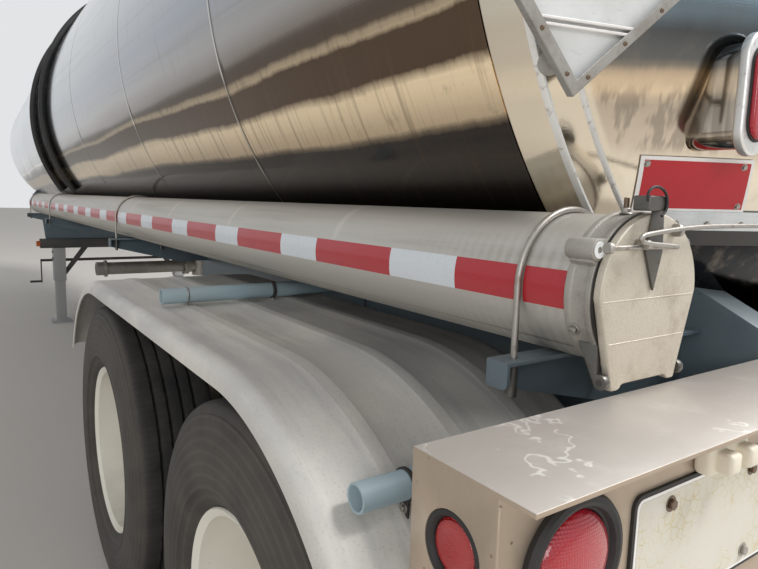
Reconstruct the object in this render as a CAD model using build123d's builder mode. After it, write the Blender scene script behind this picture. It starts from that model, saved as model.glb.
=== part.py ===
from build123d import *
import os
from math import asin, cos, degrees, radians, sin, sqrt

# A tank semi-trailer standing on its landing gear and eight tyres.
# Frame: +X forward, +Y left, +Z up, origin on the ground under the middle.
# All lengths are millimetres.

os.makedirs("parts", exist_ok=True)

# Overall size
length = 10800
width = 2438
x_nose = length / 2
x_tail = -length / 2

# Tank: a straight barrel, a front section that narrows, and two dished ends
tank_r = 1000
tank_z = 2070
front_r = 873
front_z = 2129
x_rear_weld = -5001
x_taper = 300
x_front_weld = 5100
rear_apex = x_tail + 14
skirt = 65
skirt_step = 26
knuckle_r = 60
seat_gap = 0.3

# Manway and spill dam on the tank's top
manway_x = -109
throat_r = 255
neck_r = 280
neck_flange_r = 300
neck_top = 3150
dam_x = (-560, 280)
dam_half_y = 330
dam_top = 3185
dam_wall = 4

# Running gear
wheel_r = 520
wheel_z = wheel_r
axle_front_x = -3381
axle_rear_x = -4625
tyre_half = 139.5
outer_tyre_y = 1049
inner_tyre_y = 706
dual_y = (outer_tyre_y + inner_tyre_y) / 2
rim_r = 285.75
rim_flange_r = 298
rim_half = 105
disc_t = 12
spindle_r = 40
beam_r = 63.5
track_half = 600
wheels = [
    # name, axle x, side
    ("front_left", axle_front_x, 1),
    ("front_right", axle_front_x, -1),
    ("rear_left", axle_rear_x, 1),
    ("rear_right", axle_rear_x, -1),
]

# Rear subframe
rail_y = 440
rail_half = 45
rail_bottom = 905
rail_top = 1130
rail_wall = 10
x_rail_rear = -5242
x_rail_front = -2400
spring_half_span = 560
gusset_low = 1236
gusset_high = 1296
gusset_x = -5104
hanger_x = (axle_front_x + spring_half_span, (axle_front_x + axle_rear_x) / 2, axle_rear_x - spring_half_span)

# Hose tubes along both sides
tube_r = 101.6
tube_wall = 3
tube_y = 836
tube_z = 1329
tube_rear = -5231.6
tube_front = 1869
strap_x = (-5111, -2491, 108, 1700)
strap_rod_r = 4.75
strap_low = 1170
sleeve_r = 6.5
arm_half = 20
arm_wall = 6
arm_low = 1105
arm_deep_y = 640
arm_tip_low = 1188
arm_top = tube_z - tube_r - seat_gap
arm_end = 975
ring_r = 107
ring_length = 42
cap_r = 105
cap_t = 12
cap_foot_half = 70

# Rear bumper
bumper_top = 1202
bumper_bottom = 878
bumper_front = -5242
bumper_face = -5360
bumper_t = 5

# Fenders
fender_edge = 1204
fender_width = 620
fender_r = 615
fender_t = 4
fender_lip = 44
fender_front_low = 810
fender_rear_low = 700

# Landing gear
leg_x = 2000
leg_y = 660
beam_end = 842
beam_low = 836
beam_high = 936

# Coupler
kingpin_x = 4486
coupler_low = 1185
coupler_t = 12
coupler_x = (3900, 5230)
coupler_half = 460


def save(piece, name):
    """Labels a finished piece and writes it as its own STEP file."""
    piece.part.label = name
    export_step(piece.part, f"parts/{name}.step")


def at_x(x):
    """A plane across the trailer at x: local x is +Y and local y is +Z."""
    return Plane.YZ.offset(x)


def at_y(y):
    """A plane along the trailer at y: local x is +X and local y is +Z."""
    return Plane.XZ.offset(-y)


def at_z(z):
    """A level plane at z."""
    return Plane.XY.offset(z)


def box_between(xs, ys, zs, mode=Mode.ADD):
    """A box from its two limits on each axis, inside the current part."""
    middle = tuple((low + high) / 2 for low, high in (xs, ys, zs))
    with Locations(middle):
        Box(xs[1] - xs[0], ys[1] - ys[0], zs[1] - zs[0], mode=mode)


def mirrored(piece):
    """The same piece on the other side of the trailer's middle plane."""
    with BuildPart() as other:
        mirror(piece.part, about=Plane.XZ)
    return other


def both_sides(piece):
    """One part that holds a piece and its mirror image."""
    with BuildPart() as pair:
        add(piece.part)
        mirror(piece.part, about=Plane.XZ)
    return pair


# Tank

with BuildPart() as tank_barrel:
    with BuildSketch(at_x(x_rear_weld)):
        with Locations((0, tank_z)):
            Circle(tank_r)
    extrude(amount=x_taper - x_rear_weld)
    with BuildSketch(at_z(tank_z + 530)):
        with Locations((manway_x, 0)):
            Circle(throat_r)
    extrude(amount=tank_r, mode=Mode.SUBTRACT)
save(tank_barrel, "tank_barrel")


def tapered_shell(grow):
    """The front section: a cone on an axis that climbs a little, cut square at both welds."""
    run = x_front_weld - x_taper
    climb = (front_z - tank_z) / run
    narrowing = (tank_r - front_r) / run
    spare = 60
    foot = Plane(origin=(x_taper - spare, 0, tank_z - spare * climb), x_dir=(0, 1, 0), z_dir=(1, 0, climb))
    with BuildPart() as shell:
        with Locations(foot):
            Cone(
                tank_r + grow + spare * narrowing,
                front_r + grow - spare * narrowing,
                run + 2 * spare,
                align=(Align.CENTER, Align.CENTER, Align.MIN),
            )
        box_between((x_taper, x_front_weld), (-2 * tank_r, 2 * tank_r), (0, 4 * tank_r), Mode.INTERSECT)
    return shell


save(tapered_shell(0), "tank_front_section")

# The tank grown by a hair, cut out of whatever is seated on it
with BuildPart() as seat:
    with BuildSketch(at_x(x_rear_weld)):
        with Locations((0, tank_z)):
            Circle(tank_r + seat_gap)
    extrude(amount=x_taper - x_rear_weld)
    add(tapered_shell(seat_gap).part)


def dished_head(x_weld, x_apex, z_axis, radius):
    """A short skirt, a knuckle and a crown, revolved about the tank's axis."""
    out = 1 if x_apex > x_weld else -1
    x_skirt = x_weld + out * skirt
    edge_r = radius - skirt_step
    rise = abs(x_apex - x_skirt)
    crown_r = (edge_r**2 + rise**2) / (2 * rise)
    half_turn = asin(edge_r / crown_r) / 2
    x_centre = x_apex - out * crown_r
    middle = (x_centre + out * crown_r * cos(half_turn), z_axis + crown_r * sin(half_turn))
    with BuildPart() as head:
        with BuildSketch(Plane.XZ) as profile:
            with BuildLine():
                Polyline((x_apex, z_axis), (x_weld, z_axis), (x_weld, z_axis + radius), (x_skirt, z_axis + edge_r))
                ThreePointArc((x_skirt, z_axis + edge_r), middle, (x_apex, z_axis))
            make_face()
            fillet(profile.vertices().sort_by(Axis.Y)[-2], knuckle_r)
        revolve(axis=Axis((0, 0, z_axis), (1, 0, 0)))
    return head


save(dished_head(x_rear_weld, rear_apex, tank_z, tank_r), "tank_rear_head")
save(dished_head(x_front_weld, x_nose, front_z, front_r), "tank_front_head")
rear_seat = dished_head(x_rear_weld, rear_apex - seat_gap, tank_z, tank_r + seat_gap)

# A bolted sill strip across the rear head
with BuildPart() as rear_sill:
    add(dished_head(x_rear_weld, rear_apex - 6, tank_z, tank_r + 6).part)
    with Locations((rear_apex, 0, 1396)):
        Box(2 * tank_r, 2 * 640, 32, mode=Mode.INTERSECT)
    add(rear_seat.part, mode=Mode.SUBTRACT)
save(rear_sill, "rear_sill")

# Spill dam, manway and top fittings

with BuildPart() as spill_dam:
    dam_centre = ((dam_x[0] + dam_x[1]) / 2, 0)
    dam_length = dam_x[1] - dam_x[0]
    with BuildSketch(at_z(tank_z + 920)):
        with Locations(dam_centre):
            Rectangle(dam_length, 2 * dam_half_y)
            Rectangle(dam_length - 2 * dam_wall, 2 * (dam_half_y - dam_wall), mode=Mode.SUBTRACT)
    extrude(amount=dam_top - tank_z - 920)
    with BuildSketch(at_z(dam_top - dam_wall)):
        with Locations(dam_centre):
            Rectangle(dam_length + 36, 2 * dam_half_y + 36)
            Rectangle(dam_length - 2 * dam_wall, 2 * (dam_half_y - dam_wall), mode=Mode.SUBTRACT)
    extrude(amount=dam_wall)
    add(seat.part, mode=Mode.SUBTRACT)
save(spill_dam, "spill_dam")

with BuildPart() as manway_neck:
    with BuildSketch(at_z(tank_z + 930)):
        with Locations((manway_x, 0)):
            Circle(neck_r)
    extrude(amount=neck_top - tank_z - 930)
    with BuildSketch(at_z(neck_top - 22)):
        with Locations((manway_x, 0)):
            Circle(neck_flange_r)
        with Locations((manway_x - 318, 0)):
            Rectangle(60, 120)
    extrude(amount=22)
    with BuildSketch(at_z(tank_z)):
        with Locations((manway_x, 0)):
            Circle(throat_r)
    extrude(amount=2 * tank_r, mode=Mode.SUBTRACT)
    add(seat.part, mode=Mode.SUBTRACT)
save(manway_neck, "manway_neck")

lid_hinge_x = manway_x - 334
lid_hinge_z = neck_top + 22
lid_low = neck_top + 2
with BuildPart() as manway_lid:
    with BuildSketch(Plane.XZ):
        with BuildLine():
            Polyline((manway_x, lid_low + 62), (manway_x, lid_low), (manway_x + 296, lid_low), (manway_x + 296, lid_low + 14))
            ThreePointArc((manway_x + 296, lid_low + 14), (manway_x + 160, lid_low + 48), (manway_x, lid_low + 62))
        make_face()
    revolve(axis=Axis((manway_x, 0, 0), (0, 0, 1)))
    box_between((lid_hinge_x, manway_x - 280), (-40, 40), (lid_low, lid_low + 14))
    with BuildSketch(at_y(40)):
        with Locations((lid_hinge_x, lid_hinge_z)):
            Circle(14)
    extrude(amount=80)
    with BuildSketch(at_y(42)):
        with Locations((lid_hinge_x, lid_hinge_z)):
            Circle(8.4)
    extrude(amount=84, mode=Mode.SUBTRACT)
save(manway_lid, "manway_lid")

with BuildPart() as lid_hinge_pin:
    with BuildSketch(at_y(52)):
        with Locations((lid_hinge_x, lid_hinge_z)):
            Circle(8)
    extrude(amount=104)
    with BuildSketch(at_y(52)):
        with Locations((lid_hinge_x, lid_hinge_z - 10)):
            Rectangle(28, 24)
    extrude(amount=10)
    with BuildSketch(at_y(-42)):
        with Locations((lid_hinge_x, lid_hinge_z - 10)):
            Rectangle(28, 24)
    extrude(amount=10)

vents = [
    # x, y, pipe radius, hood radius, top
    (-485, 205, 44, 62, 3225),
    (-485, -205, 44, 62, 3225),
    (228, 215, 30, 44, 3175),
    (228, -215, 30, 44, 3175),
]
with BuildPart() as top_vents:
    for x, y, pipe_r, hood_r, top in vents:
        with BuildSketch(at_z(tank_z + 900)):
            with Locations((x, y)):
                Circle(pipe_r)
        extrude(amount=top - tank_z - 900)
        with BuildSketch(at_z(top - 45)):
            with Locations((x, y)):
                Circle(hood_r)
        extrude(amount=35)
    add(seat.part, mode=Mode.SUBTRACT)
save(top_vents, "top_vents")

# Drain hoses: arcs round the tank from the dam down to the hose tubes
hose_r = 22
hose_from = 19.4
hose_to = 126.5
hose_x = (-429, 211)
with BuildPart() as hoses_left:
    start = radians(hose_from)
    radial_plane = Plane(origin=(0, 0, tank_z), x_dir=(1, 0, 0), z_dir=(0, -cos(start), sin(start)))
    with BuildSketch(radial_plane):
        with Locations(*[(x, tank_r + seat_gap + hose_r) for x in hose_x]):
            Circle(hose_r)
    revolve(axis=Axis((0, 0, tank_z), (-1, 0, 0)), revolution_arc=hose_to - hose_from)
save(both_sides(hoses_left), "drain_hoses")

# Walkway and ladder on the right side of the top
walk_x = (-1500, -580)
walk_z = 3086
with BuildPart() as walkway:
    box_between(walk_x, (-260, 260), (walk_z, walk_z + 30))
    for x in (-1440, -1040, -640):
        box_between((x - 20, x + 20), (-240, 240), (tank_z + 940, walk_z))
    with BuildSketch(at_z(walk_z)):
        with Locations(((walk_x[0] + walk_x[1]) / 2, 0)):
            with GridLocations(100, 124, 9, 4):
                Rectangle(74, 96)
    extrude(amount=40, mode=Mode.SUBTRACT)
    add(seat.part, mode=Mode.SUBTRACT)
save(walkway, "top_walkway")

ladder_x = (-1250, -850)
ladder_y = 1075
ladder_foot = 700
ladder_turn = 68
rail_tube_r = 17
rung_r = 13
with BuildPart() as ladder:
    for x in ladder_x:
        with BuildLine(at_x(x)) as ladder_path:
            Line((-ladder_y, ladder_foot), (-ladder_y, tank_z))
            CenterArc((0, tank_z), ladder_y, 180, -ladder_turn)
        with BuildSketch(at_z(ladder_foot)):
            with Locations((x, -ladder_y)):
                Circle(rail_tube_r)
        sweep(path=ladder_path.line)
    for step in range(5):
        with BuildSketch(Plane.YZ.offset(ladder_x[0])):
            with Locations((-ladder_y, ladder_foot + 60 + step * 300)):
                Circle(rung_r)
        extrude(amount=ladder_x[1] - ladder_x[0])
    for turn in range(8, ladder_turn, 17):
        rung_at = (-ladder_y * cos(radians(turn)), tank_z + ladder_y * sin(radians(turn)))
        with BuildSketch(Plane.YZ.offset(ladder_x[0])):
            with Locations(rung_at):
                Circle(rung_r)
        extrude(amount=ladder_x[1] - ladder_x[0])
    for x in ladder_x:
        for z in (tank_z - 100, tank_z + 600):
            reach = sqrt(ladder_y**2 - max(z - tank_z, 0) ** 2)
            box_between((x - 6, x + 6), (-reach + 8, -700), (z - 25, z + 25))
    add(seat.part, mode=Mode.SUBTRACT)
save(ladder, "ladder")

# Hose tubes, their end rings and hinged caps

with BuildPart() as tube_left:
    with BuildSketch(at_x(tube_rear + 12)):
        with Locations((tube_y, tube_z)):
            Circle(tube_r)
            Circle(tube_r - tube_wall, mode=Mode.SUBTRACT)
    extrude(amount=tube_front - tube_rear - 12)
    with BuildSketch(at_x(tube_front - 6)):
        with Locations((tube_y, tube_z)):
            Circle(tube_r - tube_wall)
    extrude(amount=6)
save(tube_left, "hose_tube_left")
save(mirrored(tube_left), "hose_tube_right")

cap_rear = tube_rear - 0.4 - cap_t
cap_hinge_x = cap_rear + cap_t / 2
cap_hinge_z = bumper_top + 19
cap_pin_r = 3
cap_foot_low = cap_hinge_z - 13
cap_notch_low = cap_hinge_z - cap_t / 2
ear_inner = 78
ear_t = 10
ear_r = 10
boss_y = tube_y + 98
boss_z = tube_z + 59
boss_r = 14
eye_y = tube_y - 95
eye_z = tube_z + 61
with BuildPart() as ring_left:
    with BuildSketch(at_x(tube_rear)):
        with Locations((tube_y, tube_z)):
            Circle(ring_r)
        with Locations((boss_y, boss_z)):
            Circle(boss_r)
    extrude(amount=ring_length)
    with BuildSketch(at_x(tube_rear)):
        with Locations((eye_y, eye_z)):
            Circle(11)
            Circle(4, mode=Mode.SUBTRACT)
    extrude(amount=16)
    for y in (-ear_inner, ear_inner + ear_t):
        with BuildSketch(at_y(tube_y + y)):
            with Locations((cap_hinge_x, cap_hinge_z)):
                Circle(ear_r)
            with BuildLine():
                Polyline(
                    (tube_rear, tube_z - 60),
                    (tube_rear + 30, tube_z - 60),
                    (cap_hinge_x + ear_r, cap_hinge_z - 1),
                    (cap_hinge_x, cap_hinge_z - 1),
                    (cap_hinge_x, cap_hinge_z + 8),
                    (tube_rear, cap_hinge_z + 8),
                    close=True,
                )
            make_face()
        extrude(amount=ear_t)
    with BuildSketch(at_x(tube_rear - 100)):
        with Locations((tube_y, tube_z)):
            Circle(tube_r - tube_wall)
    extrude(amount=300, mode=Mode.SUBTRACT)
    with BuildSketch(at_x(tube_rear + 12)):
        with Locations((tube_y, tube_z)):
            Circle(tube_r + seat_gap)
    extrude(amount=100, mode=Mode.SUBTRACT)
    with BuildSketch(at_y(tube_y + ear_inner + ear_t + 1)):
        with Locations((cap_hinge_x, cap_hinge_z)):
            Circle(cap_pin_r + seat_gap)
    extrude(amount=2 * (ear_inner + ear_t + 1), mode=Mode.SUBTRACT)
save(both_sides(ring_left), "tube_rings")

# One bent rod: from the ring's boss to a hairpin, back to a tight bend, then away towards the middle
latch_rod_r = 3
latch_route = [
    # x, y, z of the bends
    (cap_rear - 8, boss_y + 8, 1392),
    (cap_rear - 8, 812, 1392),
    (cap_rear - 17, 812, 1392),
    (cap_rear - 17, 893, 1398),
    (cap_rear - 17, 893, 1408),
    (cap_rear - 12, 800, 1415),
    (cap_rear - 12, 732, 1418),
    (cap_rear - 12, 480, 1419),
]
staples = [
    # y, lowest and highest edge, depth
    (876, 1389, 1402, 20),
    (796, 1404, 1421, 14),
]
with BuildPart() as cap_left:
    with BuildSketch(at_x(cap_rear)):
        with Locations((tube_y, tube_z)):
            Circle(cap_r)
        with BuildLine():
            Polyline(
                (tube_y - cap_r, tube_z),
                (tube_y - cap_foot_half, cap_foot_low),
                (tube_y - 56, cap_foot_low),
                (tube_y - 47, cap_notch_low),
                (tube_y + 47, cap_notch_low),
                (tube_y + 56, cap_foot_low),
                (tube_y + cap_foot_half, cap_foot_low),
                (tube_y + cap_r, tube_z),
                close=True,
            )
        make_face()
    extrude(amount=cap_t)
    fillet(cap_left.faces().filter_by(Axis.Z).sort_by(Axis.Z)[-1].edges().filter_by(Axis.Y), cap_t / 2 - 0.1)
    with BuildSketch(at_y(tube_y + ear_inner)):
        with Locations((cap_hinge_x, cap_hinge_z)):
            Circle(cap_pin_r + seat_gap)
    extrude(amount=2 * ear_inner, mode=Mode.SUBTRACT)
    for y, low, high, depth in staples:
        box_between((cap_rear - depth, cap_rear), (y - 4, y + 4), (low, high))
    with BuildLine() as latch_path:
        FilletPolyline(*latch_route, radius=4)
    with BuildSketch(Plane(origin=latch_path.line @ 0, z_dir=latch_path.line % 0)):
        Circle(latch_rod_r)
    sweep(path=latch_path.line)
save(cap_left, "tube_cap_left")
save(mirrored(cap_left), "tube_cap_right")

# The over-centre toggle on each cap: a block at the top and a tapered blade down the face
with BuildPart() as toggle_left:
    with BuildSketch(at_x(cap_rear - 4)):
        with BuildLine():
            Polyline((852, 1452), (829, 1452), (824, 1385), (838, 1334), (861, 1385), (852, 1430), close=True)
        make_face()
    extrude(amount=4)
    box_between((cap_rear - 12, cap_rear + cap_t), (836, 874), (tube_z + cap_r + 3, 1456))
save(toggle_left, "cap_toggle_left")
save(mirrored(toggle_left), "cap_toggle_right")

with BuildPart() as hinge_pins:
    add(lid_hinge_pin.part)
    for side in (1, -1):
        with BuildSketch(at_y(side * tube_y + ear_inner + ear_t - 2)):
            with Locations((cap_hinge_x, cap_hinge_z)):
                Circle(cap_pin_r)
        extrude(amount=2 * (ear_inner + ear_t - 2))
save(hinge_pins, "hinge_pins")

# Arms and straps that carry the hose tubes

leg_hole_y = tube_r + strap_rod_r + seat_gap
arm_root_y = (rail_y + rail_half + seat_gap, rail_y + rail_half + seat_gap, 330, 300)


with BuildPart() as arms_left:
    for x, root in zip(strap_x, arm_root_y):
        with BuildSketch(at_x(x + arm_half - arm_wall)) as web:
            with BuildLine():
                Polyline(
                    (root, arm_low),
                    (arm_deep_y, arm_low),
                    (arm_end, arm_tip_low),
                    (arm_end, arm_top),
                    (root, arm_top),
                    close=True,
                )
            make_face()
        extrude(amount=arm_wall)
        box_between((x - arm_half, x + arm_half), (root, arm_end), (arm_top - arm_wall, arm_top))
        with BuildSketch(at_y(arm_end)) as end_wall:
            with BuildLine():
                Polyline(
                    (x - arm_half, arm_top),
                    (x - arm_half, arm_tip_low),
                    (x + arm_half, arm_tip_low),
                    (x + arm_half, arm_top),
                    close=True,
                )
            make_face()
            fillet(end_wall.vertices().group_by(Axis.Y)[0].sort_by(Axis.X)[0], 9)
        extrude(amount=arm_wall)
        for y in (tube_y - leg_hole_y, tube_y + leg_hole_y):
            with BuildSketch(at_z(arm_top - arm_wall - 1)):
                with Locations((x, y)):
                    Circle(strap_rod_r + 0.6)
            extrude(amount=arm_wall + 2, mode=Mode.SUBTRACT)
    add(seat.part, mode=Mode.SUBTRACT)
    add(rear_seat.part, mode=Mode.SUBTRACT)
save(both_sides(arms_left), "tube_arms")

# Straps: a rod bent over the tube, its two legs screwed into long sleeve nuts under the arm
with BuildPart() as straps_left:
    for x in strap_x:
        with BuildLine(at_x(x)) as strap_path:
            Line((tube_y + leg_hole_y, strap_low + 5), (tube_y + leg_hole_y, tube_z))
            CenterArc((tube_y, tube_z), leg_hole_y, 0, 180)
            Line((tube_y - leg_hole_y, tube_z), (tube_y - leg_hole_y, strap_low + 5))
        with BuildSketch(at_z(strap_low + 5)):
            with Locations((x, tube_y + leg_hole_y)):
                Circle(strap_rod_r)
        sweep(path=strap_path.line)
        with BuildSketch(at_z(strap_low)):
            with Locations((x, tube_y - leg_hole_y), (x, tube_y + leg_hole_y)):
                Circle(sleeve_r)
        extrude(amount=arm_top - arm_wall - seat_gap - strap_low)
save(both_sides(straps_left), "tube_straps")

# Rear subframe: two channel rails with cross members

cross_x = (x_rail_rear + 40, hanger_x[2] + 160, axle_rear_x, hanger_x[1], axle_front_x, hanger_x[0], x_rail_front - 40)
with BuildPart() as rear_subframe:
    for side in (1, -1):
        outer = side * (rail_y + rail_half)
        inner = side * (rail_y - rail_half)
        lip = side * rail_wall
        with BuildSketch(at_x(x_rail_rear)):
            with BuildLine():
                Polyline(
                    (outer, rail_bottom),
                    (outer, rail_top),
                    (inner, rail_top),
                    (inner, rail_top - rail_wall),
                    (outer - lip, rail_top - rail_wall),
                    (outer - lip, rail_bottom + rail_wall),
                    (inner, rail_bottom + rail_wall),
                    (inner, rail_bottom),
                    close=True,
                )
            make_face()
        extrude(amount=x_rail_front - x_rail_rear)
    reach = rail_y + rail_half - rail_wall
    for x in cross_x:
        box_between((x - 40, x + 40), (-reach, reach), (rail_bottom + rail_wall, rail_bottom + rail_wall + 100))
        box_between((x - 32, x + 32), (-reach + 60, reach - 60), (rail_bottom, rail_bottom + rail_wall + 92), Mode.SUBTRACT)
    for side in (1, -1):
        outer = side * (rail_y + rail_half)
        with BuildSketch(at_y(outer)):
            with BuildLine():
                Polyline(
                    (x_rail_rear, rail_top),
                    (x_rail_rear, gusset_low),
                    (x_rail_rear + 14, gusset_low),
                    (gusset_x, gusset_high),
                    (x_rear_weld, gusset_high),
                    (x_rear_weld, rail_top),
                    close=True,
                )
            make_face()
        extrude(amount=side * rail_wall)
        with BuildSketch(at_y(outer)):
            with BuildLine():
                Polyline(
                    (x_rail_rear + 14, gusset_low),
                    (x_rail_rear + 14, gusset_low + 9),
                    (gusset_x, gusset_high + 9),
                    (gusset_x, gusset_high),
                    close=True,
                )
            make_face()
        extrude(amount=side * 70)
    add(seat.part, mode=Mode.SUBTRACT)
    add(rear_seat.part, mode=Mode.SUBTRACT)
save(rear_subframe, "rear_subframe")

# Saddles: cross plates cut to the tank, with a foot flange on the rails
saddles = [
    # x of the plate's rear face, half width at the foot, half width at the top, height of the ends
    (x_rear_weld + 4, 475, 705, 1300),
    (hanger_x[1] - 100, 475, 620, 1250),
    (strap_x[1] + arm_half, 475, 705, 1300),
]
with BuildPart() as tank_saddles:
    for x, foot_y, end_y, end_z in saddles:
        with BuildSketch(at_x(x)):
            with BuildLine():
                Polyline(
                    (-foot_y, rail_top),
                    (foot_y, rail_top),
                    (end_y, end_z),
                    (end_y, end_z + 120),
                    (-end_y, end_z + 120),
                    (-end_y, end_z),
                    close=True,
                )
            make_face()
        extrude(amount=10)
        box_between((x + 10, x + 90), (-foot_y, foot_y), (rail_top, rail_top + 10))
    add(seat.part, mode=Mode.SUBTRACT)
save(tank_saddles, "tank_saddles")

# Rear bumper, a folded box section open to the front
lamp_seats = [
    # y, z, lens radius, grommet radius
    (1119, 1110, 51, 68.5),
    (-1119, 1110, 51, 68.5),
]
side_lamp_at = (-5303, 1122)
side_lamp_r = 38
head_lamp_y = 620
head_lamp_z = 1606
head_lamp_back = -5250

with BuildPart() as rear_bumper:
    box_between((x_tail, bumper_front), (-width / 2, width / 2), (bumper_top - bumper_t, bumper_top))
    box_between((bumper_face, bumper_face + bumper_t), (-width / 2, width / 2), (bumper_bottom, bumper_top))
    box_between((bumper_face, bumper_front), (-width / 2, width / 2), (bumper_bottom, bumper_bottom + bumper_t))
    for side in (1, -1):
        y_end = sorted((side * width / 2, side * (width / 2 - bumper_t)))
        box_between((bumper_face, bumper_front), y_end, (bumper_bottom, bumper_top))
        y_rib = sorted((side * 400, side * 480))
        box_between((bumper_face + bumper_t, x_rail_rear - seat_gap), y_rib, (rail_bottom, rail_top))
    for y, z, lens_r, grommet_r in lamp_seats:
        with BuildSketch(at_x(bumper_face - 1)):
            with Locations((y, z)):
                Circle(grommet_r - 4 + seat_gap)
        extrude(amount=bumper_t + 2, mode=Mode.SUBTRACT)
    with BuildSketch(at_y(width / 2 + 1)):
        with Locations(side_lamp_at):
            Circle(side_lamp_r + seat_gap)
    extrude(amount=width + 2, mode=Mode.SUBTRACT)
save(rear_bumper, "rear_bumper")

with BuildPart() as rear_lamps:
    for y, z, lens_r, grommet_r in lamp_seats:
        with BuildSketch(at_x(bumper_face)):
            with Locations((y, z)):
                Circle(grommet_r)
        extrude(amount=-8)
        with BuildSketch(at_x(bumper_face)):
            with Locations((y, z)):
                Circle(grommet_r - 4)
        extrude(amount=30)
        with BuildSketch(at_x(bumper_face - 8)):
            with Locations((y, z)):
                Circle(lens_r)
        extrude(amount=-12, taper=12)
    for side in (1, -1):
        with BuildSketch(at_y(side * width / 2)):
            with Locations(side_lamp_at):
                Circle(side_lamp_r)
        extrude(amount=side * 34)
        with BuildSketch(at_x(head_lamp_back)):
            with Locations((side * head_lamp_y, head_lamp_z)):
                SlotCenterToCenter(78, 52, rotation=90)
        extrude(amount=-10, taper=15)
save(rear_lamps, "rear_lamps")

# Lamp boxes that stand out from the rear head
with BuildPart() as lamp_boxes_left:
    with BuildSketch(at_x(head_lamp_back)):
        with Locations((head_lamp_y, head_lamp_z)):
            RectangleRounded(112, 180, 30)
    extrude(amount=150)
    fillet(lamp_boxes_left.faces().sort_by(Axis.X)[0].edges(), 10)
    add(rear_seat.part, mode=Mode.SUBTRACT)
save(both_sides(lamp_boxes_left), "head_lamp_boxes")

with BuildPart() as rear_guard:
    box_between((-5350, -5250), (-1150, 1150), (460, 560))
    for side in (1, -1):
        y_post = sorted((side * 395, side * 485))
        box_between((-5340, -5260), y_post, (560, bumper_bottom))
save(rear_guard, "rear_guard")

# Axles, springs and brakes

seat_top = wheel_z + beam_r + 28
with BuildPart() as axles:
    for x in (axle_front_x, axle_rear_x):
        for side in (1, -1):
            y_seat = sorted((side * (rail_y - 50), side * (rail_y + 50)))
            box_between((x - 60, x + 60), y_seat, (wheel_z, seat_top))
            with BuildSketch(at_y(side * 590)):
                with Locations((x, wheel_z)):
                    Circle(150)
            extrude(amount=-side * 16)
        for reach, radius in ((track_half, beam_r), (985, spindle_r)):
            with BuildSketch(at_y(0)):
                with Locations((x, wheel_z)):
                    Circle(radius)
            extrude(amount=reach, both=True)
save(axles, "axles")

leaves = [
    # inner radius, thickness, half length
    (1480, 18, spring_half_span),
    (1498, 18, 430),
    (1516, 18, 290),
]
spring_centre_z = seat_top + seat_gap + 1534
with BuildPart() as springs_left:
    for x in (axle_front_x, axle_rear_x):
        for leaf_r, leaf_t, half in leaves:
            with BuildSketch(at_y(rail_y + 38)):
                with Locations((x, spring_centre_z)):
                    Circle(leaf_r + leaf_t)
                    Circle(leaf_r, mode=Mode.SUBTRACT)
                with Locations((x, spring_centre_z - leaf_r)):
                    Rectangle(2 * half, 400, mode=Mode.INTERSECT)
            extrude(amount=76)
save(both_sides(springs_left), "leaf_springs")

spring_end_top = spring_centre_z - sqrt(1480**2 - spring_half_span**2)
with BuildPart() as hangers_left:
    for x in hanger_x:
        block_low = spring_end_top + (80 if x == hanger_x[1] else 1)
        box_between((x - 50, x + 50), (rail_y - 46, rail_y + 46), (block_low, rail_bottom))
        for y in (-46, 40):
            with BuildSketch(at_y(rail_y + y + 6)):
                with BuildLine():
                    Polyline((x - 55, rail_bottom), (x + 55, rail_bottom), (x + 48, 720), (x - 48, 720), close=True)
                make_face()
            extrude(amount=6)
save(both_sides(hangers_left), "spring_hangers")

with BuildPart() as equalizers_left:
    x = hanger_x[1]
    with BuildSketch(at_y(rail_y + 37)):
        with BuildLine():
            Polyline(
                (x - 112, spring_end_top + 1),
                (x - 112, spring_end_top + 30),
                (x - 40, spring_end_top + 72),
                (x + 40, spring_end_top + 72),
                (x + 112, spring_end_top + 30),
                (x + 112, spring_end_top + 1),
                (x + 40, spring_end_top + 20),
                (x - 40, spring_end_top + 20),
                close=True,
            )
        make_face()
    extrude(amount=74)
save(both_sides(equalizers_left), "equalizers")

with BuildPart() as chambers_left:
    for x in (axle_front_x, axle_rear_x):
        with BuildSketch(at_x(x - 290)):
            with Locations((300, 640)):
                Circle(82)
        extrude(amount=150)
        box_between((x - 141, x + 20), (270, 330), (wheel_z + beam_r + seat_gap, wheel_z + beam_r + 12))
        box_between((x - 141, x - 129), (270, 330), (wheel_z + beam_r + seat_gap, 640))
save(both_sides(chambers_left), "brake_chambers")

# Wheels: a dual pair of tyres on two discs bolted to one hub


def tyre_pair(x, side):
    """Two plain tyres, widest halfway up their walls."""
    with BuildPart() as pair:
        for centre in (outer_tyre_y, inner_tyre_y):
            y = side * centre
            with BuildSketch(at_x(x)):
                with BuildLine():
                    Polyline(
                        (y - 100, wheel_z + rim_r),
                        (y - tyre_half, wheel_z + 400),
                        (y - 108, wheel_z + wheel_r),
                        (y + 108, wheel_z + wheel_r),
                        (y + tyre_half, wheel_z + 400),
                        (y + 100, wheel_z + rim_r),
                        close=True,
                    )
                make_face()
            revolve(axis=Axis((x, 0, wheel_z), (0, 1, 0)))
    return pair


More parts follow.
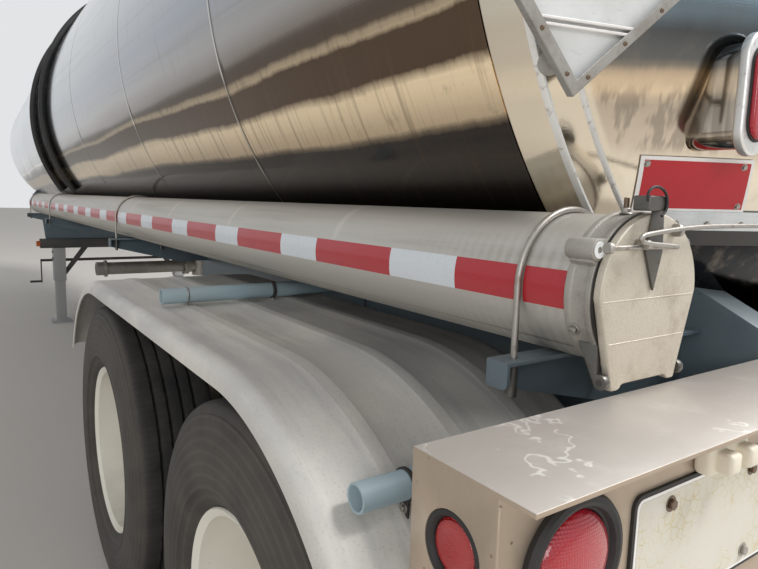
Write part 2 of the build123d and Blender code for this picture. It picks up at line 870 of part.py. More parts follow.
def disc_pair(x, side):
    """Two steel disc wheels, back to back, with hand holes."""
    barrel_r = rim_r - seat_gap
    with BuildPart() as discs:
        for out in (1, -1):
            centre = outer_tyre_y if out > 0 else inner_tyre_y
            points = [
                # y measured outward from the mating plane, radius
                (0, 109),
                (0, 190),
                (centre_gap(centre) - 95, 262),
                (centre_gap(centre) - 95, barrel_r - 8),
                (centre_gap(centre) - rim_half, barrel_r - 8),
                (centre_gap(centre) - rim_half - 9, rim_flange_r),
                (centre_gap(centre) - rim_half, rim_flange_r),
                (centre_gap(centre) - rim_half, barrel_r),
                (centre_gap(centre) + rim_half, barrel_r),
                (centre_gap(centre) + rim_half, rim_flange_r),
                (centre_gap(centre) + rim_half + 9, rim_flange_r),
                (centre_gap(centre) + rim_half + 1, barrel_r - 8),
                (centre_gap(centre) - 70, barrel_r - 8),
                (centre_gap(centre) - 70, 262),
                (disc_t + 6, 182),
                (disc_t, 176),
                (disc_t, 109),
            ]
            with BuildSketch(at_x(x)):
                with BuildLine():
                    Polyline(*[(side * (dual_y + out * y), wheel_z + r) for y, r in points], close=True)
                make_face()
            revolve(axis=Axis((x, 0, wheel_z), (0, 1, 0)))
        with BuildSketch(at_y(side * (dual_y + 70))):
            with Locations((x, wheel_z)):
                with PolarLocations(218, 5):
                    Circle(27)
        extrude(amount=side * 140, mode=Mode.SUBTRACT)
    return discs


def centre_gap(centre):
    """Distance from a rim's middle to the plane where the two discs meet."""
    return abs(centre - dual_y)


def hub_and_drum(x, side):
    """Brake drum, hub flange and hub barrel with a closed cap."""
    points = [
        # y, radius
        (612, spindle_r + 2),
        (612, 213),
        (780, 213),
        (845, 200),
        (845, 168),
        (dual_y - disc_t, 168),
        (dual_y - disc_t, 109),
        (952, 109),
        (960, 84),
        (1006, 78),
        (1006, 0),
        (991, 0),
        (991, spindle_r + 2),
    ]
    with BuildPart() as hub:
        with BuildSketch(at_x(x)):
            with BuildLine():
                Polyline(*[(side * y, wheel_z + r) for y, r in points], close=True)
            make_face()
        revolve(axis=Axis((x, 0, wheel_z), (0, 1, 0)))
    return hub


def wheel_set(x, side):
    """Both discs bolted up to the hub and its drum."""
    with BuildPart() as wheel:
        add(disc_pair(x, side).part)
        add(hub_and_drum(x, side).part)
    return wheel


for name, x, side in wheels:
    save(tyre_pair(x, side), f"tyres_{name}")
    save(wheel_set(x, side), f"wheels_{name}")

# Fenders: one ribbed arch over both axles on each side


def arch_band(outer_r, depth, y_from, y_to, run_on=0, edge_r=0):
    """A band along both wheel arches, from outer_r inward by depth, with rolled edges."""
    a_front = degrees(asin((fender_front_low - wheel_z) / fender_r)) - run_on
    a_rear = degrees(asin((fender_rear_low - wheel_z) / fender_r)) - run_on
    with BuildPart() as band:
        with BuildSketch(at_y(y_to)):
            with BuildLine():
                ends = []
                for r in (outer_r, outer_r - depth):
                    front_arc = CenterArc((axle_front_x, wheel_z), r, a_front, 90 - a_front)
                    rear_arc = CenterArc((axle_rear_x, wheel_z), r, 90, 90 - a_rear)
                    Line((axle_front_x, wheel_z + r), (axle_rear_x, wheel_z + r))
                    ends.append((front_arc @ 0, rear_arc @ 1))
                Line(ends[0][0], ends[1][0])
                Line(ends[0][1], ends[1][1])
            make_face()
        extrude(amount=y_to - y_from)
        if edge_r:
            fillet(band.edges().filter_by(lambda edge: follows_arch(edge, outer_r)), edge_r)
    return band


def follows_arch(edge, radius):
    """True for an edge that runs along the arch at this radius."""
    for share in (0.2, 0.5, 0.8):
        point = edge.position_at(share)
        nearest_x = min(max(point.X, axle_rear_x), axle_front_x)
        if abs(sqrt((point.X - nearest_x) ** 2 + (point.Z - wheel_z) ** 2) - radius) > 1:
            return False
    return abs(edge.position_at(0).Y - edge.position_at(1).Y) < 0.5


fender_inner = fender_edge - fender_width
rib_y = (fender_edge - 150, fender_edge - 310, fender_edge - 470)
edge_roll = 34
with BuildPart() as fender_left:
    add(arch_band(fender_r, fender_lip, fender_inner, fender_edge, 0, edge_roll).part)
    hollow = arch_band(
        fender_r - fender_t, fender_lip, fender_inner + fender_t, fender_edge - fender_t, 4, edge_roll - fender_t
    )
    add(hollow.part, mode=Mode.SUBTRACT)
    for y in rib_y:
        add(arch_band(fender_r + 5, 9, y - 26, y + 26).part)
save(fender_left, "fender_left")
save(mirrored(fender_left), "fender_right")

# Pipes that carry the fenders, each with two rings and feet down to the fender's top
stubs = [
    # x, z, outer end y, lowest and highest edge of the plate on the rail
    (hanger_x[1] + 16, 1166, 1129, 1050, 1192),
    (-5024, 1033, 1146, 985, 1081),
]
stub_r = 22
stub_wall = 4
clip_y = (1060, 800)
fender_solid = arch_band(fender_r + seat_gap, fender_r - 400, fender_inner - 1, fender_edge + 1, -20)
with BuildPart() as stubs_left:
    for x, z, end_y, plate_low, plate_high in stubs:
        with BuildSketch(at_y(end_y)):
            with Locations((x, z)):
                Circle(stub_r)
        extrude(amount=end_y - rail_y - rail_half - 10)
        for y in clip_y:
            with BuildSketch(at_y(y + 8)):
                with Locations((x, z)):
                    Circle(stub_r + 8)
                    Rectangle(28, 52, align=(Align.CENTER, Align.MAX))
            extrude(amount=16)
        box_between((x - 45, x + 45), (rail_y + rail_half + seat_gap, rail_y + rail_half + 12), (plate_low, plate_high))
        with BuildSketch(at_y(end_y + 1)):
            with Locations((x, z)):
                Circle(stub_r - stub_wall)
        extrude(amount=300, mode=Mode.SUBTRACT)
    add(fender_solid.part, mode=Mode.SUBTRACT)
    add(fender_left.part, mode=Mode.SUBTRACT)
save(both_sides(stubs_left), "fender_stubs")

# Mud flaps hang on the front edge of the bumper's lower flange
flap_t = 8
with BuildPart() as flaps_left:
    box_between((bumper_front, bumper_front + flap_t), (fender_inner + 10, fender_edge - 10), (220, bumper_bottom + 12))
save(both_sides(flaps_left), "mud_flaps")

# Landing gear

with BuildPart() as landing_bulkhead:
    with BuildSketch(at_x(leg_x - 6)):
        with BuildLine():
            Polyline((-785, beam_high), (785, beam_high), (814, 1219), (700, 1330), (-700, 1330), (-814, 1219), close=True)
        make_face()
    extrude(amount=12)
    for y in (-560, 0, 560):
        with BuildSketch(at_y(y + 5)):
            with BuildLine():
                Polyline((leg_x + 6, beam_high), (leg_x + 230, 1300), (leg_x + 6, 1300), close=True)
            make_face()
        extrude(amount=10)
    add(seat.part, mode=Mode.SUBTRACT)
save(landing_bulkhead, "landing_bulkhead")

with BuildPart() as landing_beam:
    box_between((leg_x - 50, leg_x + 50), (-beam_end, beam_end), (beam_low, beam_high))
    box_between((leg_x - 44, leg_x + 44), (-beam_end - 1, beam_end + 1), (beam_low + 6, beam_high - 6), Mode.SUBTRACT)
save(landing_beam, "landing_beam")

with BuildPart() as leg_left:
    box_between((leg_x - 60, leg_x + 60), (leg_y - 60, leg_y + 60), (470, beam_low))
    box_between((leg_x - 50, leg_x + 50), (leg_y - 50, leg_y + 50), (40, 470))
    box_between((leg_x - 120, leg_x + 120), (leg_y - 100, leg_y + 100), (0, 22))
    with BuildSketch(at_z(22)):
        with Locations((leg_x, leg_y)):
            Rectangle(150, 130)
    extrude(amount=30, taper=25)
    box_between((leg_x + 60, leg_x + 130), (leg_y - 45, leg_y + 45), (620, 760))
save(both_sides(leg_left), "landing_legs")

shaft_x = leg_x + 95
shaft_z = 690
with BuildPart() as landing_braces:
    for side in (1, -1):
        with BuildSketch(at_x(leg_x - 5)):
            with BuildLine():
                Polyline(
                    (side * (leg_y - 60 - seat_gap), 520),
                    (side * (leg_y - 60 - seat_gap), 600),
                    (side * 430, beam_low - seat_gap),
                    (side * 360, beam_low - seat_gap),
                    close=True,
                )
            make_face()
        extrude(amount=10)
save(landing_braces, "landing_braces")

with BuildPart() as landing_crank:
    with BuildSketch(at_y(leg_y - 45 - seat_gap)):
        with Locations((shaft_x, shaft_z)):
            Circle(16)
    extrude(amount=2 * (leg_y - 45 - seat_gap))
    with BuildSketch(at_y(leg_y + 165)):
        with Locations((shaft_x, shaft_z)):
            Circle(14)
    extrude(amount=120 - seat_gap)
    box_between((shaft_x - 10, shaft_x + 10), (leg_y + 165, leg_y + 177), (440, 704))
    with BuildSketch(at_y(leg_y + 287)):
        with Locations((shaft_x, 455)):
            Circle(12)
    extrude(amount=110)
save(landing_crank, "landing_crank")

with BuildPart() as beam_lamps:
    for side in (1, -1):
        with BuildSketch(at_y(side * beam_end)):
            with Locations((leg_x, 886)):
                Rectangle(84, 60)
        extrude(amount=-side * 38)
save(beam_lamps, "beam_lamps")

# Front coupler

coupler_high = coupler_low + coupler_t
with BuildPart() as coupler_plate:
    box_between(coupler_x, (-coupler_half, coupler_half), (coupler_low, coupler_high))
    with BuildSketch(at_z(coupler_low - 1)):
        with Locations((kingpin_x, 0)):
            Circle(45.6)
    extrude(amount=coupler_t + 2, mode=Mode.SUBTRACT)
save(coupler_plate, "coupler_plate")

kingpin_profile = [
    # radius, z
    (0, coupler_low - 84),
    (35.7, coupler_low - 84),
    (35.7, coupler_low - 70),
    (25.4, coupler_low - 66),
    (25.4, coupler_low - 34),
    (36.5, coupler_low - 30),
    (36.5, coupler_low),
    (45.4, coupler_low),
    (45.4, coupler_high + 10),
    (0, coupler_high + 10),
]
with BuildPart() as kingpin:
    with BuildSketch(Plane.XZ):
        with BuildLine():
            Polyline(*[(kingpin_x + r, z) for r, z in kingpin_profile], close=True)
        make_face()
    revolve(axis=Axis((kingpin_x, 0, 0), (0, 0, 1)))
save(kingpin, "kingpin")

coupler_rail_y = 400
with BuildPart() as coupler_frame:
    for side in (1, -1):
        y_rail = sorted((side * (coupler_rail_y - 30), side * (coupler_rail_y + 30)))
        box_between(coupler_x, y_rail, (coupler_high, coupler_high + 90))
    for x in (coupler_x[0] + 20, kingpin_x - 190, kingpin_x + 190, coupler_x[1] - 140):
        with BuildSketch(at_x(x)):
            with BuildLine():
                Polyline(
                    (-coupler_half, coupler_high),
                    (coupler_half, coupler_high),
                    (620, 1400),
                    (560, 1470),
                    (-560, 1470),
                    (-620, 1400),
                    close=True,
                )
            make_face()
        extrude(amount=10)
    add(seat.part, mode=Mode.SUBTRACT)
save(coupler_frame, "coupler_frame")

# Outlet: a sump under the barrel, its valve and a side pipe with a coupling

outlet_x = -900
outlet_z = 905
with BuildPart() as sump:
    with BuildSketch(at_z(990)):
        with Locations((outlet_x, 0)):
            Circle(170)
    extrude(amount=140)
    add(seat.part, mode=Mode.SUBTRACT)
save(sump, "sump")

with BuildPart() as outlet_valve:
    with BuildSketch(at_z(972)):
        with Locations((outlet_x, 0)):
            Circle(120)
    extrude(amount=18)
    with BuildSketch(at_z(outlet_z - 75)):
        with Locations((outlet_x, 0)):
            Circle(75)
    extrude(amount=142)
    with BuildSketch(at_y(110)):
        with Locations((outlet_x, outlet_z)):
            Circle(50)
    extrude(amount=110)
    with BuildSketch(at_y(128)):
        with Locations((outlet_x, outlet_z)):
            Circle(64)
    extrude(amount=18)
save(outlet_valve, "outlet_valve")

with BuildPart() as outlet_pipe:
    for y_from, y_to, radius in ((128, 146, 64), (146, 700, 44.5), (700, 716, 60), (716, 770, 48)):
        with BuildSketch(at_y(y_to)):
            with Locations((outlet_x, outlet_z)):
                Circle(radius)
        extrude(amount=y_to - y_from)
    with BuildSketch(at_y(771)):
        with Locations((outlet_x, outlet_z)):
            Circle(38)
    extrude(amount=500, mode=Mode.SUBTRACT)
save(outlet_pipe, "outlet_pipe")

# Air tanks between the rails and the hose couplings at the front

with BuildPart() as air_tanks:
    for x in (hanger_x[0], cross_x[-1]):
        with BuildSketch(at_y(380)):
            with Locations((x, 780)):
                Circle(110)
        extrude(amount=760)
        for y in (-250, 250):
            box_between((x - 15, x + 15), (y - 20, y + 20), (889, 1007))
save(air_tanks, "air_tanks")

with BuildPart() as gladhand_bracket:
    box_between((5236, 5242), (-180, 180), (1197, 1330))
    for y in (-110, 110):
        with BuildSketch(at_x(5242)):
            with Locations((y, 1270)):
                Circle(30)
        extrude(amount=45)
    with BuildSketch(at_x(5242)):
        with Locations((0, 1270)):
            Circle(38)
    extrude(amount=60)
save(gladhand_bracket, "gladhand_bracket")
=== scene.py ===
"""Looks of a tank semi-trailer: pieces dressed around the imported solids, in metres and in their frame."""

import logging
import math
from dataclasses import dataclass
from enum import Enum
from typing import Callable, Iterable, Sequence, Union

import bmesh
import bpy
from mathutils import Matrix, Vector

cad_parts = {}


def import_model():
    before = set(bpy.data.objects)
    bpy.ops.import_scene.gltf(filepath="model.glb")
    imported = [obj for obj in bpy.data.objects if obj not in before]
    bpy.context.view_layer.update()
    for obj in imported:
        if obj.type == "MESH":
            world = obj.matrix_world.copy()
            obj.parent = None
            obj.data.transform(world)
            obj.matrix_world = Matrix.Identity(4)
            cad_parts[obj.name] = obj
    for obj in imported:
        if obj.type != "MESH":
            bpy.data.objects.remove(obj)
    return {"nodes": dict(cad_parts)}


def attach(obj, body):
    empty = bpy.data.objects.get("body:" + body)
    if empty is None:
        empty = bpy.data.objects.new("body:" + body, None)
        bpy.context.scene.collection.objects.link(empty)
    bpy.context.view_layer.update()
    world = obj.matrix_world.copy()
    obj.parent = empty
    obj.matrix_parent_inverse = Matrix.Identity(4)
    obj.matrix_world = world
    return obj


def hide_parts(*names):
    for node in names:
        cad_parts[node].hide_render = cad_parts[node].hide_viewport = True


log = logging.getLogger("trailer")

Tone = tuple[int, int, int]
Colour = tuple[float, float, float, float]
Flat = tuple[float, float]
Point = tuple[float, float, float]
Shape = bmesh.types.BMesh
Node = bpy.types.Object
Material = bpy.types.Material

CHASSIS = "chassis"
FULL_TURN = 2 * math.pi
SHARP_ANGLE = math.radians(32)
SIDES = (("left", 1), ("right", -1))
AHEAD = (1, 0, 0)
BEHIND = (-1, 0, 0)
LEFTWARDS = (0, 1, 0)
RIGHTWARDS = (0, -1, 0)
UPWARDS = (0, 0, 1)
DOWNWARDS = (0, 0, -1)


class Slot(Enum):
    """The material slots."""

    POLISHED = "polished_steel"
    BRUSHED = "brushed_steel"
    ALUMINIUM = "dull_aluminium"
    FENDER = "fender_steel"
    FRAME = "frame_paint"
    DARK = "dark_paint"
    WHEEL = "wheel_paint"
    TYRE = "tyre_rubber"
    RUBBER = "black_rubber"
    RED = "red_lens"
    AMBER = "amber_lens"
    PIN = "kingpin_steel"


def linear(tone: Tone) -> Colour:
    """The linear colour of a tone, which has three display values from 0 to 255."""
    channels = [value / 255 for value in tone]
    return (*(part / 12.92 if part <= 0.04045 else ((part + 0.055) / 1.055) ** 2.4 for part in channels), 1.0)


class Amount:
    """A number that changes over the surface: a socket that takes part in sums."""

    def __init__(self, recipe: "Recipe", socket: bpy.types.NodeSocket) -> None:
        """Holds the recipe that its sums are added to, and the socket."""
        self.recipe = recipe
        self.socket = socket

    def _sum(self, operation: str, first: "Number", second: "Number") -> "Amount":
        """One Math node over two numbers."""
        node = self.recipe.node("ShaderNodeMath", {"operation": operation}, {0: first, 1: second})
        return Amount(self.recipe, node.outputs[0])

    def __add__(self, other: "Number") -> "Amount":
        """This plus another."""
        return self._sum("ADD", self, other)

    def __radd__(self, other: "Number") -> "Amount":
        """Another plus this."""
        return self._sum("ADD", other, self)

    def __sub__(self, other: "Number") -> "Amount":
        """This less another."""
        return self._sum("SUBTRACT", self, other)

    def __rsub__(self, other: "Number") -> "Amount":
        """Another less this."""
        return self._sum("SUBTRACT", other, self)

    def __mul__(self, other: "Number") -> "Amount":
        """This times another."""
        return self._sum("MULTIPLY", self, other)

    def __rmul__(self, other: "Number") -> "Amount":
        """Another times this."""
        return self._sum("MULTIPLY", other, self)

    def __truediv__(self, other: "Number") -> "Amount":
        """This over another."""
        return self._sum("DIVIDE", self, other)

    def __abs__(self) -> "Amount":
        """This without its sign."""
        return self._sum("ABSOLUTE", self, 0.0)

    def most(self, other: "Number") -> "Amount":
        """The larger of this and another."""
        return self._sum("MAXIMUM", self, other)

    def remainder(self, period: float) -> "Amount":
        """What is left of this after whole periods, never negative."""
        return self._sum("FLOORED_MODULO", self, period)

    def sine(self) -> "Amount":
        """The sine of this."""
        return self._sum("SINE", self, 0.0)

    def rise(self, low: float, high: float, start: float = 0.0, end: float = 1.0) -> "Amount":
        """A smooth step.

        Args:
            low: where it starts to change.
            high: where it has changed.
            start: its value up to low.
            end: its value from high on.

        Returns:
            The stepped amount.
        """
        values = {0: self, 1: low, 2: high, 3: start, 4: end}
        node = self.recipe.node("ShaderNodeMapRange", {"interpolation_type": "SMOOTHSTEP"}, values)
        return Amount(self.recipe, node.outputs[0])

    def near(self, place: float, half: float, soft: float) -> "Amount":
        """1 within half of a place, and 0 from soft beyond that."""
        return abs(self - place).rise(half, half + soft, 1.0, 0.0)


Number = Union[float, Amount]
Socket = bpy.types.NodeSocket
Paintable = Union[Tone, Colour, Socket]


class Nodes:
    """The nodes of a material or of the surround."""

    def __init__(self, owner: Union[bpy.types.Material, bpy.types.World]) -> None:
        """Empties the owner's nodes."""
        owner.use_nodes = True
        self.tree = owner.node_tree
        self.tree.nodes.clear()

    def node(self, kind: str, settings: dict | None = None, values: dict | None = None) -> bpy.types.Node:
        """Adds one node.

        Args:
            kind: the node's type.
            settings: its own properties, which are set first; "stops" are a ramp's.
            values: a number, colour, Amount or socket for each named or numbered input.

        Returns:
            The node.
        """
        made = self.tree.nodes.new(kind)
        for name, value in (settings or {}).items():
            if name == "stops":
                self._set_stops(made.color_ramp, value)
            else:
                setattr(made, name, value)
        for key, value in (values or {}).items():
            if isinstance(value, Amount):
                value = value.socket
            if isinstance(value, bpy.types.NodeSocket):
                self.tree.links.new(value, made.inputs[key])
            else:
                made.inputs[key].default_value = value
        return made

    @staticmethod
    def _set_stops(ramp: bpy.types.ColorRamp, stops: Sequence[tuple[float, Colour]]) -> None:
        """Gives a ramp its stops.

        Args:
            ramp: the ramp.
            stops: each stop's place and colour.
        """
        while len(ramp.elements) < len(stops):
            ramp.elements.new(1.0)
        for element, (place, colour) in zip(ramp.elements, stops):
            element.position = place
            element.color = colour


class Recipe(Nodes):
    """One material's nodes, added by the words of this class."""

    def __init__(self, name: str) -> None:
        """An empty material."""
        self.material = bpy.data.materials.new(name)
        super().__init__(self.material)
        place = self.node("ShaderNodeTexCoord")
        self.place: Socket = place.outputs["Object"]
        self.uv: Socket = place.outputs["UV"]

    def parts(self, vector: Socket | None = None) -> tuple[Amount, Amount, Amount]:
        """The three numbers of a vector, the place on the object unless another is given."""
        split = self.node("ShaderNodeSeparateXYZ", None, {0: vector or self.place})
        return tuple(Amount(self, output) for output in split.outputs)

    def upward(self) -> Amount:
        """How far the surface faces up: 1 on a floor, 0 on a wall."""
        return self.parts(self.node("ShaderNodeNewGeometry").outputs["Normal"])[2]

    def noise(
        self, scale: float, detail: float = 3.0, rough: float = 0.55, vector: Socket | None = None
    ) -> Amount:
        """Cloudy noise from 0 to 1.

        Args:
            scale: clouds to a metre.
            detail: how many finer layers lie on it.
            rough: how strong those are.
            vector: the place, if it is stretched.

        Returns:
            The noise.
        """
        values = {"Vector": vector or self.place, "Scale": scale, "Detail": detail, "Roughness": rough}
        return Amount(self, self.node("ShaderNodeTexNoise", None, values).outputs[0])

    def grain(self, stretch: Point, detail: float, rough: float, vector: Socket | None = None) -> Amount:
        """Noise that runs long or short along each axis.

        Args:
            stretch: clouds to a metre along each axis.
            detail: how many finer layers lie on it.
            rough: how strong those are.
            vector: the place, if it isn't the object's.

        Returns:
            The noise.
        """
        values = {"Vector": vector or self.place, "Scale": stretch}
        return self.noise(1.0, detail, rough, self.node("ShaderNodeMapping", None, values).outputs[0])

    def cells(self, scale: float, feature: str = "F1") -> Amount:
        """Distances between scattered points.

        Args:
            scale: points to a metre.
            feature: F1 for the nearest point, DISTANCE_TO_EDGE for the edge between two.

        Returns:
            The distance.
        """
        values = {"Vector": self.place, "Scale": scale}
        node = self.node("ShaderNodeTexVoronoi", {"feature": feature}, values)
        return Amount(self, node.outputs["Distance"])

    def mix(self, share: Number, first: Paintable, second: Paintable) -> Socket:
        """A colour between two.

        Args:
            share: how much of the second shows.
            first: a tone, colour or socket.
            second: another.

        Returns:
            The mixed colour.
        """
        values: dict = {0: share, 6: first, 7: second}
        for key in (6, 7):
            if isinstance(values[key], tuple) and len(values[key]) == 3:
                values[key] = linear(values[key])
        return self.node("ShaderNodeMix", {"data_type": "RGBA"}, values).outputs[2]

    def bump(
        self, height: Amount, distance: float, strength: float = 1.0, under: Socket | None = None
    ) -> Socket:
        """The surface's direction over a height.

        Args:
            height: the height from 0 to 1.
            distance: what 1 stands for, in metres.
            strength: how much of it shows.
            under: a direction that this one is laid over.

        Returns:
            The direction.
        """
        values = {"Height": height, "Distance": distance, "Strength": strength}
        if under is not None:
            values["Normal"] = under
        return self.node("ShaderNodeBump", None, values).outputs[0]

    def surface(
        self,
        colour: Paintable,
        rough: Number,
        shape: Socket | None = None,
        metallic: float = 0.0,
        coat: Flat = (0.0, 0.03),
    ) -> Material:
        """Ends the recipe with its shader.

        Args:
            colour: its colour.
            rough: its roughness.
            shape: its surface's direction.
            metallic: its share of metal.
            coat: the clear coat's weight and roughness.

        Returns:
            The finished material.
        """
        values = {"Base Color": colour, "Roughness": rough, "Metallic": metallic}
        values |= {"Coat Weight": coat[0], "Coat Roughness": coat[1]}
        if shape is not None:
            values["Normal"] = shape
        shader = self.node("ShaderNodeBsdfPrincipled", None, values)
        self.node("ShaderNodeOutputMaterial", None, {"Surface": shader.outputs[0]})
        return self.material


@dataclass(frozen=True)
class Finish:
    """What every finish has: a name, a slot and its plain colour."""

    name: str
    slot: Slot
    colour: Tone

    def material(self) -> Material:
        """The material, made the first time that it is asked for."""
        return bpy.data.materials.get(self.name) or self.mixed(Recipe(self.name))

    def mixed(self, recipe: Recipe) -> Material:
        """A plain satin surface; each kind of finish mixes its own.

        Args:
            recipe: the material's nodes.

        Returns:
            The material.
        """
        return recipe.surface(linear(self.colour), 0.5)


@dataclass(frozen=True)
class MirrorSteel(Finish):
    """Polished stainless: painted reflections that lie in bands by height, faint waves, polishing lines and
    dried runs.
    """

    bands: tuple[tuple[float, Tone], ...]
    grime_and_painted_shade: Tone
    painted_sky_tint: Tone = (146, 160, 178)
    seams: tuple[float, ...] = ()
    gloss: float = 0.07
    drift: float = 0.0
    painted_reflection_zone: Flat = (0.0, 0.0)
    lowest: float = 1.0
    span: float = 2.3
    axis_z: float = 2.07

    def mixed(self, recipe: Recipe) -> Material:
        """Mixes painted reflection bands and long dark painted reflection lines, runs down it, a painted sky
        tint, dark weld marks and a painted highlight beside each weld.

        Args:
            recipe: the material's nodes.

        Returns:
            The material.
        """
        x, y, z = recipe.parts()
        # Long dark lines along the barrel: painted reflections of shadows. The drips are real dried runs.
        reflection_lines = recipe.grain((0.35, 26.0, 26.0), 4.0, 0.6)
        lines = recipe.grain((1.5, 420.0, 420.0), 2.0, 0.5)
        drips = recipe.grain((30.0, 30.0, 1.6), 4.0, 0.7)
        wander = recipe.grain((1.1, 1.6, 2.4), 3.0, 0.55)
        clouds = recipe.noise(1.7, 4.0)
        height = z + (wander - 0.5) * 0.05 + (drips - 0.5) * 0.012 + (x + 5.0) * self.drift
        # The ramp paints reflections: each band's tone stands for what the polished shell would mirror at
        # that height.
        stops = [((level - self.lowest) / self.span, linear(tone)) for level, tone in self.bands]
        ramp = recipe.node("ShaderNodeValToRGB", {"stops": stops}, {0: (height - self.lowest) / self.span})
        stain = drips.rise(0.55, 0.75) * clouds.rise(0.35, 0.7)
        # This mix darkens the painted reflection lines and the dried stains alike.
        grime_and_painted_shade = reflection_lines.rise(0.5, 0.75) * 0.22 + stain * 0.34
        # Painted sky reflection: a blue-grey tint in patches high on the shell.
        sky_tint_patches = recipe.grain((1.0, 5.0, 5.0), 5.0, 0.6).rise(0.35, 0.7)
        colour = recipe.mix(sky_tint_patches * height.rise(1.82, 2.0) * 0.24, ramp.outputs[0], self.painted_sky_tint)
        if self.seams:
            runs = recipe.grain((34.0, 1.3, 1.3), 3.0, 0.7).rise(0.52, 0.66)
            colour = recipe.mix(runs * z.rise(1.7, 1.84, 1.0, 0.0) * 0.38, colour, self.grime_and_painted_shade)
        colour = recipe.mix(grime_and_painted_shade, colour, self.grime_and_painted_shade)
        # On the rear head: painted reflected strokes in a band across the crown, and a pale cream painted
        # sunlit band on the outer rim of its lower half.
        if self.painted_reflection_zone[1]:
            low, high = self.painted_reflection_zone
            up = z - self.axis_z
            inside = (y * y + up * up).rise(0.845, 0.86, 1.0, 0.0)
            reflected_strokes = recipe.grain((26.0, 26.0, 3.0), 3.0, 0.7).rise(0.46, 0.56)
            zone = z.rise(low, low + 0.02) * height.rise(high - 0.03, high, 1.0, 0.0)
            colour = recipe.mix(zone * inside * reflected_strokes * 0.5, colour, (112, 102, 94))
            painted_sunlit_rim = (1.0 - inside) * z.rise(1.41, 1.43) * z.rise(1.78, 1.84, 1.0, 0.0)
            colour = recipe.mix(painted_sunlit_rim * 0.75, colour, (214, 204, 186))
        polish = self.gloss + lines * 0.05 + stain * 0.12 + grime_and_painted_shade * 0.06
        waves = recipe.grain((0.8, 2.6, 2.6), 1.0, 0.4)
        shape = recipe.bump(waves, 0.008)
        shape = recipe.bump(lines, 0.00005, 1.0, shape)
        if self.seams:
            marks = sum((x.near(seam, 0.0035, 0.003) for seam in self.seams), 0.0)
            # Painted highlight: a pale line just ahead of each weld. The dark mark on the weld itself is real
            # discolour.
            bright = sum((x.near(seam + 0.009, 0.003, 0.003) for seam in self.seams), 0.0)
            colour = recipe.mix(marks * 0.75, colour, (58, 50, 44))
            colour = recipe.mix(bright * 0.5, colour, (226, 220, 212))
            polish = polish + marks * 0.12
        return recipe.surface(colour, polish, shape, 1.0)


@dataclass(frozen=True)
class BrushedSheet(Finish):
    """Weathered sheet metal with brushing along one axis, scuffs, dust and brown spots."""

    dirt: Tone
    scuff: Tone
    brush: tuple[float, float, float] = (60.0, 2.0, 900.0)
    gloss: float = 0.42

    def mixed(self, recipe: Recipe) -> Material:
        """Mixes brushing, cloudy dirt, pale scuffs and small spots.

        Args:
            recipe: the material's nodes.

        Returns:
            The material.
        """
        grain = recipe.grain(self.brush, 3.0, 0.6)
        clouds = recipe.noise(3.5, 5.0, 0.6)
        patches = recipe.noise(9.0, 4.0, 0.65).rise(0.45, 0.75)
        scratches = recipe.grain((90.0, 7.0, 90.0), 4.0, 0.7).rise(0.62, 0.72)
        spots = recipe.cells(38.0).rise(0.05, 0.14, 1.0, 0.0) * clouds.rise(0.5, 0.65)
        colour = recipe.mix(clouds.rise(0.3, 0.75) * 0.7, self.colour, self.dirt)
        colour = recipe.mix(grain.rise(0.3, 0.7) * 0.35, colour, self.scuff)
        colour = recipe.mix(patches * 0.45 + scratches * 0.35, colour, self.scuff)
        colour = recipe.mix(spots * 0.7, colour, self.dirt)
        rough = self.gloss + clouds * 0.16 + patches * 0.12 - grain * 0.08
        shape = recipe.bump(grain, 0.00012)
        shape = recipe.bump(clouds, 0.0015, 0.6, shape)
        return recipe.surface(colour, rough, shape, 0.75)


@dataclass(frozen=True)
class BumperSheet(Finish):
    """Worn bumper sheet: greyer where it faces up, with pale trails; tan and pitted on its upright faces."""

    upright: Tone
    pit: Tone

    def mixed(self, recipe: Recipe) -> Material:
        """Mixes clouds, pale trails on top and small dark pits on the sides.

        Args:
            recipe: the material's nodes.

        Returns:
            The material.
        """
        up = recipe.upward()
        top = up.rise(0.5, 0.9)
        clouds = recipe.noise(4.0, 5.0, 0.6)
        small = recipe.noise(14.0, 5.0, 0.65)
        warp = recipe.noise(3.0, 5.0, 0.65)
        trails = warp.near(0.5, 0.002, 0.006) * small.rise(0.42, 0.56) * top
        pits = recipe.cells(60.0).rise(0.06, 0.13, 1.0, 0.0) * small.rise(0.42, 0.55) * (1.0 - top)
        grain = recipe.grain((420.0, 6.0, 60.0), 3.0, 0.6)
        colour = recipe.mix(top, self.upright, self.colour)
        colour = recipe.mix(clouds.rise(0.3, 0.75) * 0.32, colour, (142, 134, 126))
        colour = recipe.mix(small.rise(0.5, 0.8) * 0.3, colour, (208, 204, 198))
        colour = recipe.mix(trails * 0.5 + grain * 0.08, colour, (232, 230, 224))
        colour = recipe.mix(pits * 0.8, colour, self.pit)
        rough = 0.4 + clouds * 0.18 + small * 0.1
        shape = recipe.bump(grain, 0.00006)
        shape = recipe.bump(clouds, 0.0015, 0.6, shape)
        return recipe.surface(colour, rough, shape, 0.6)


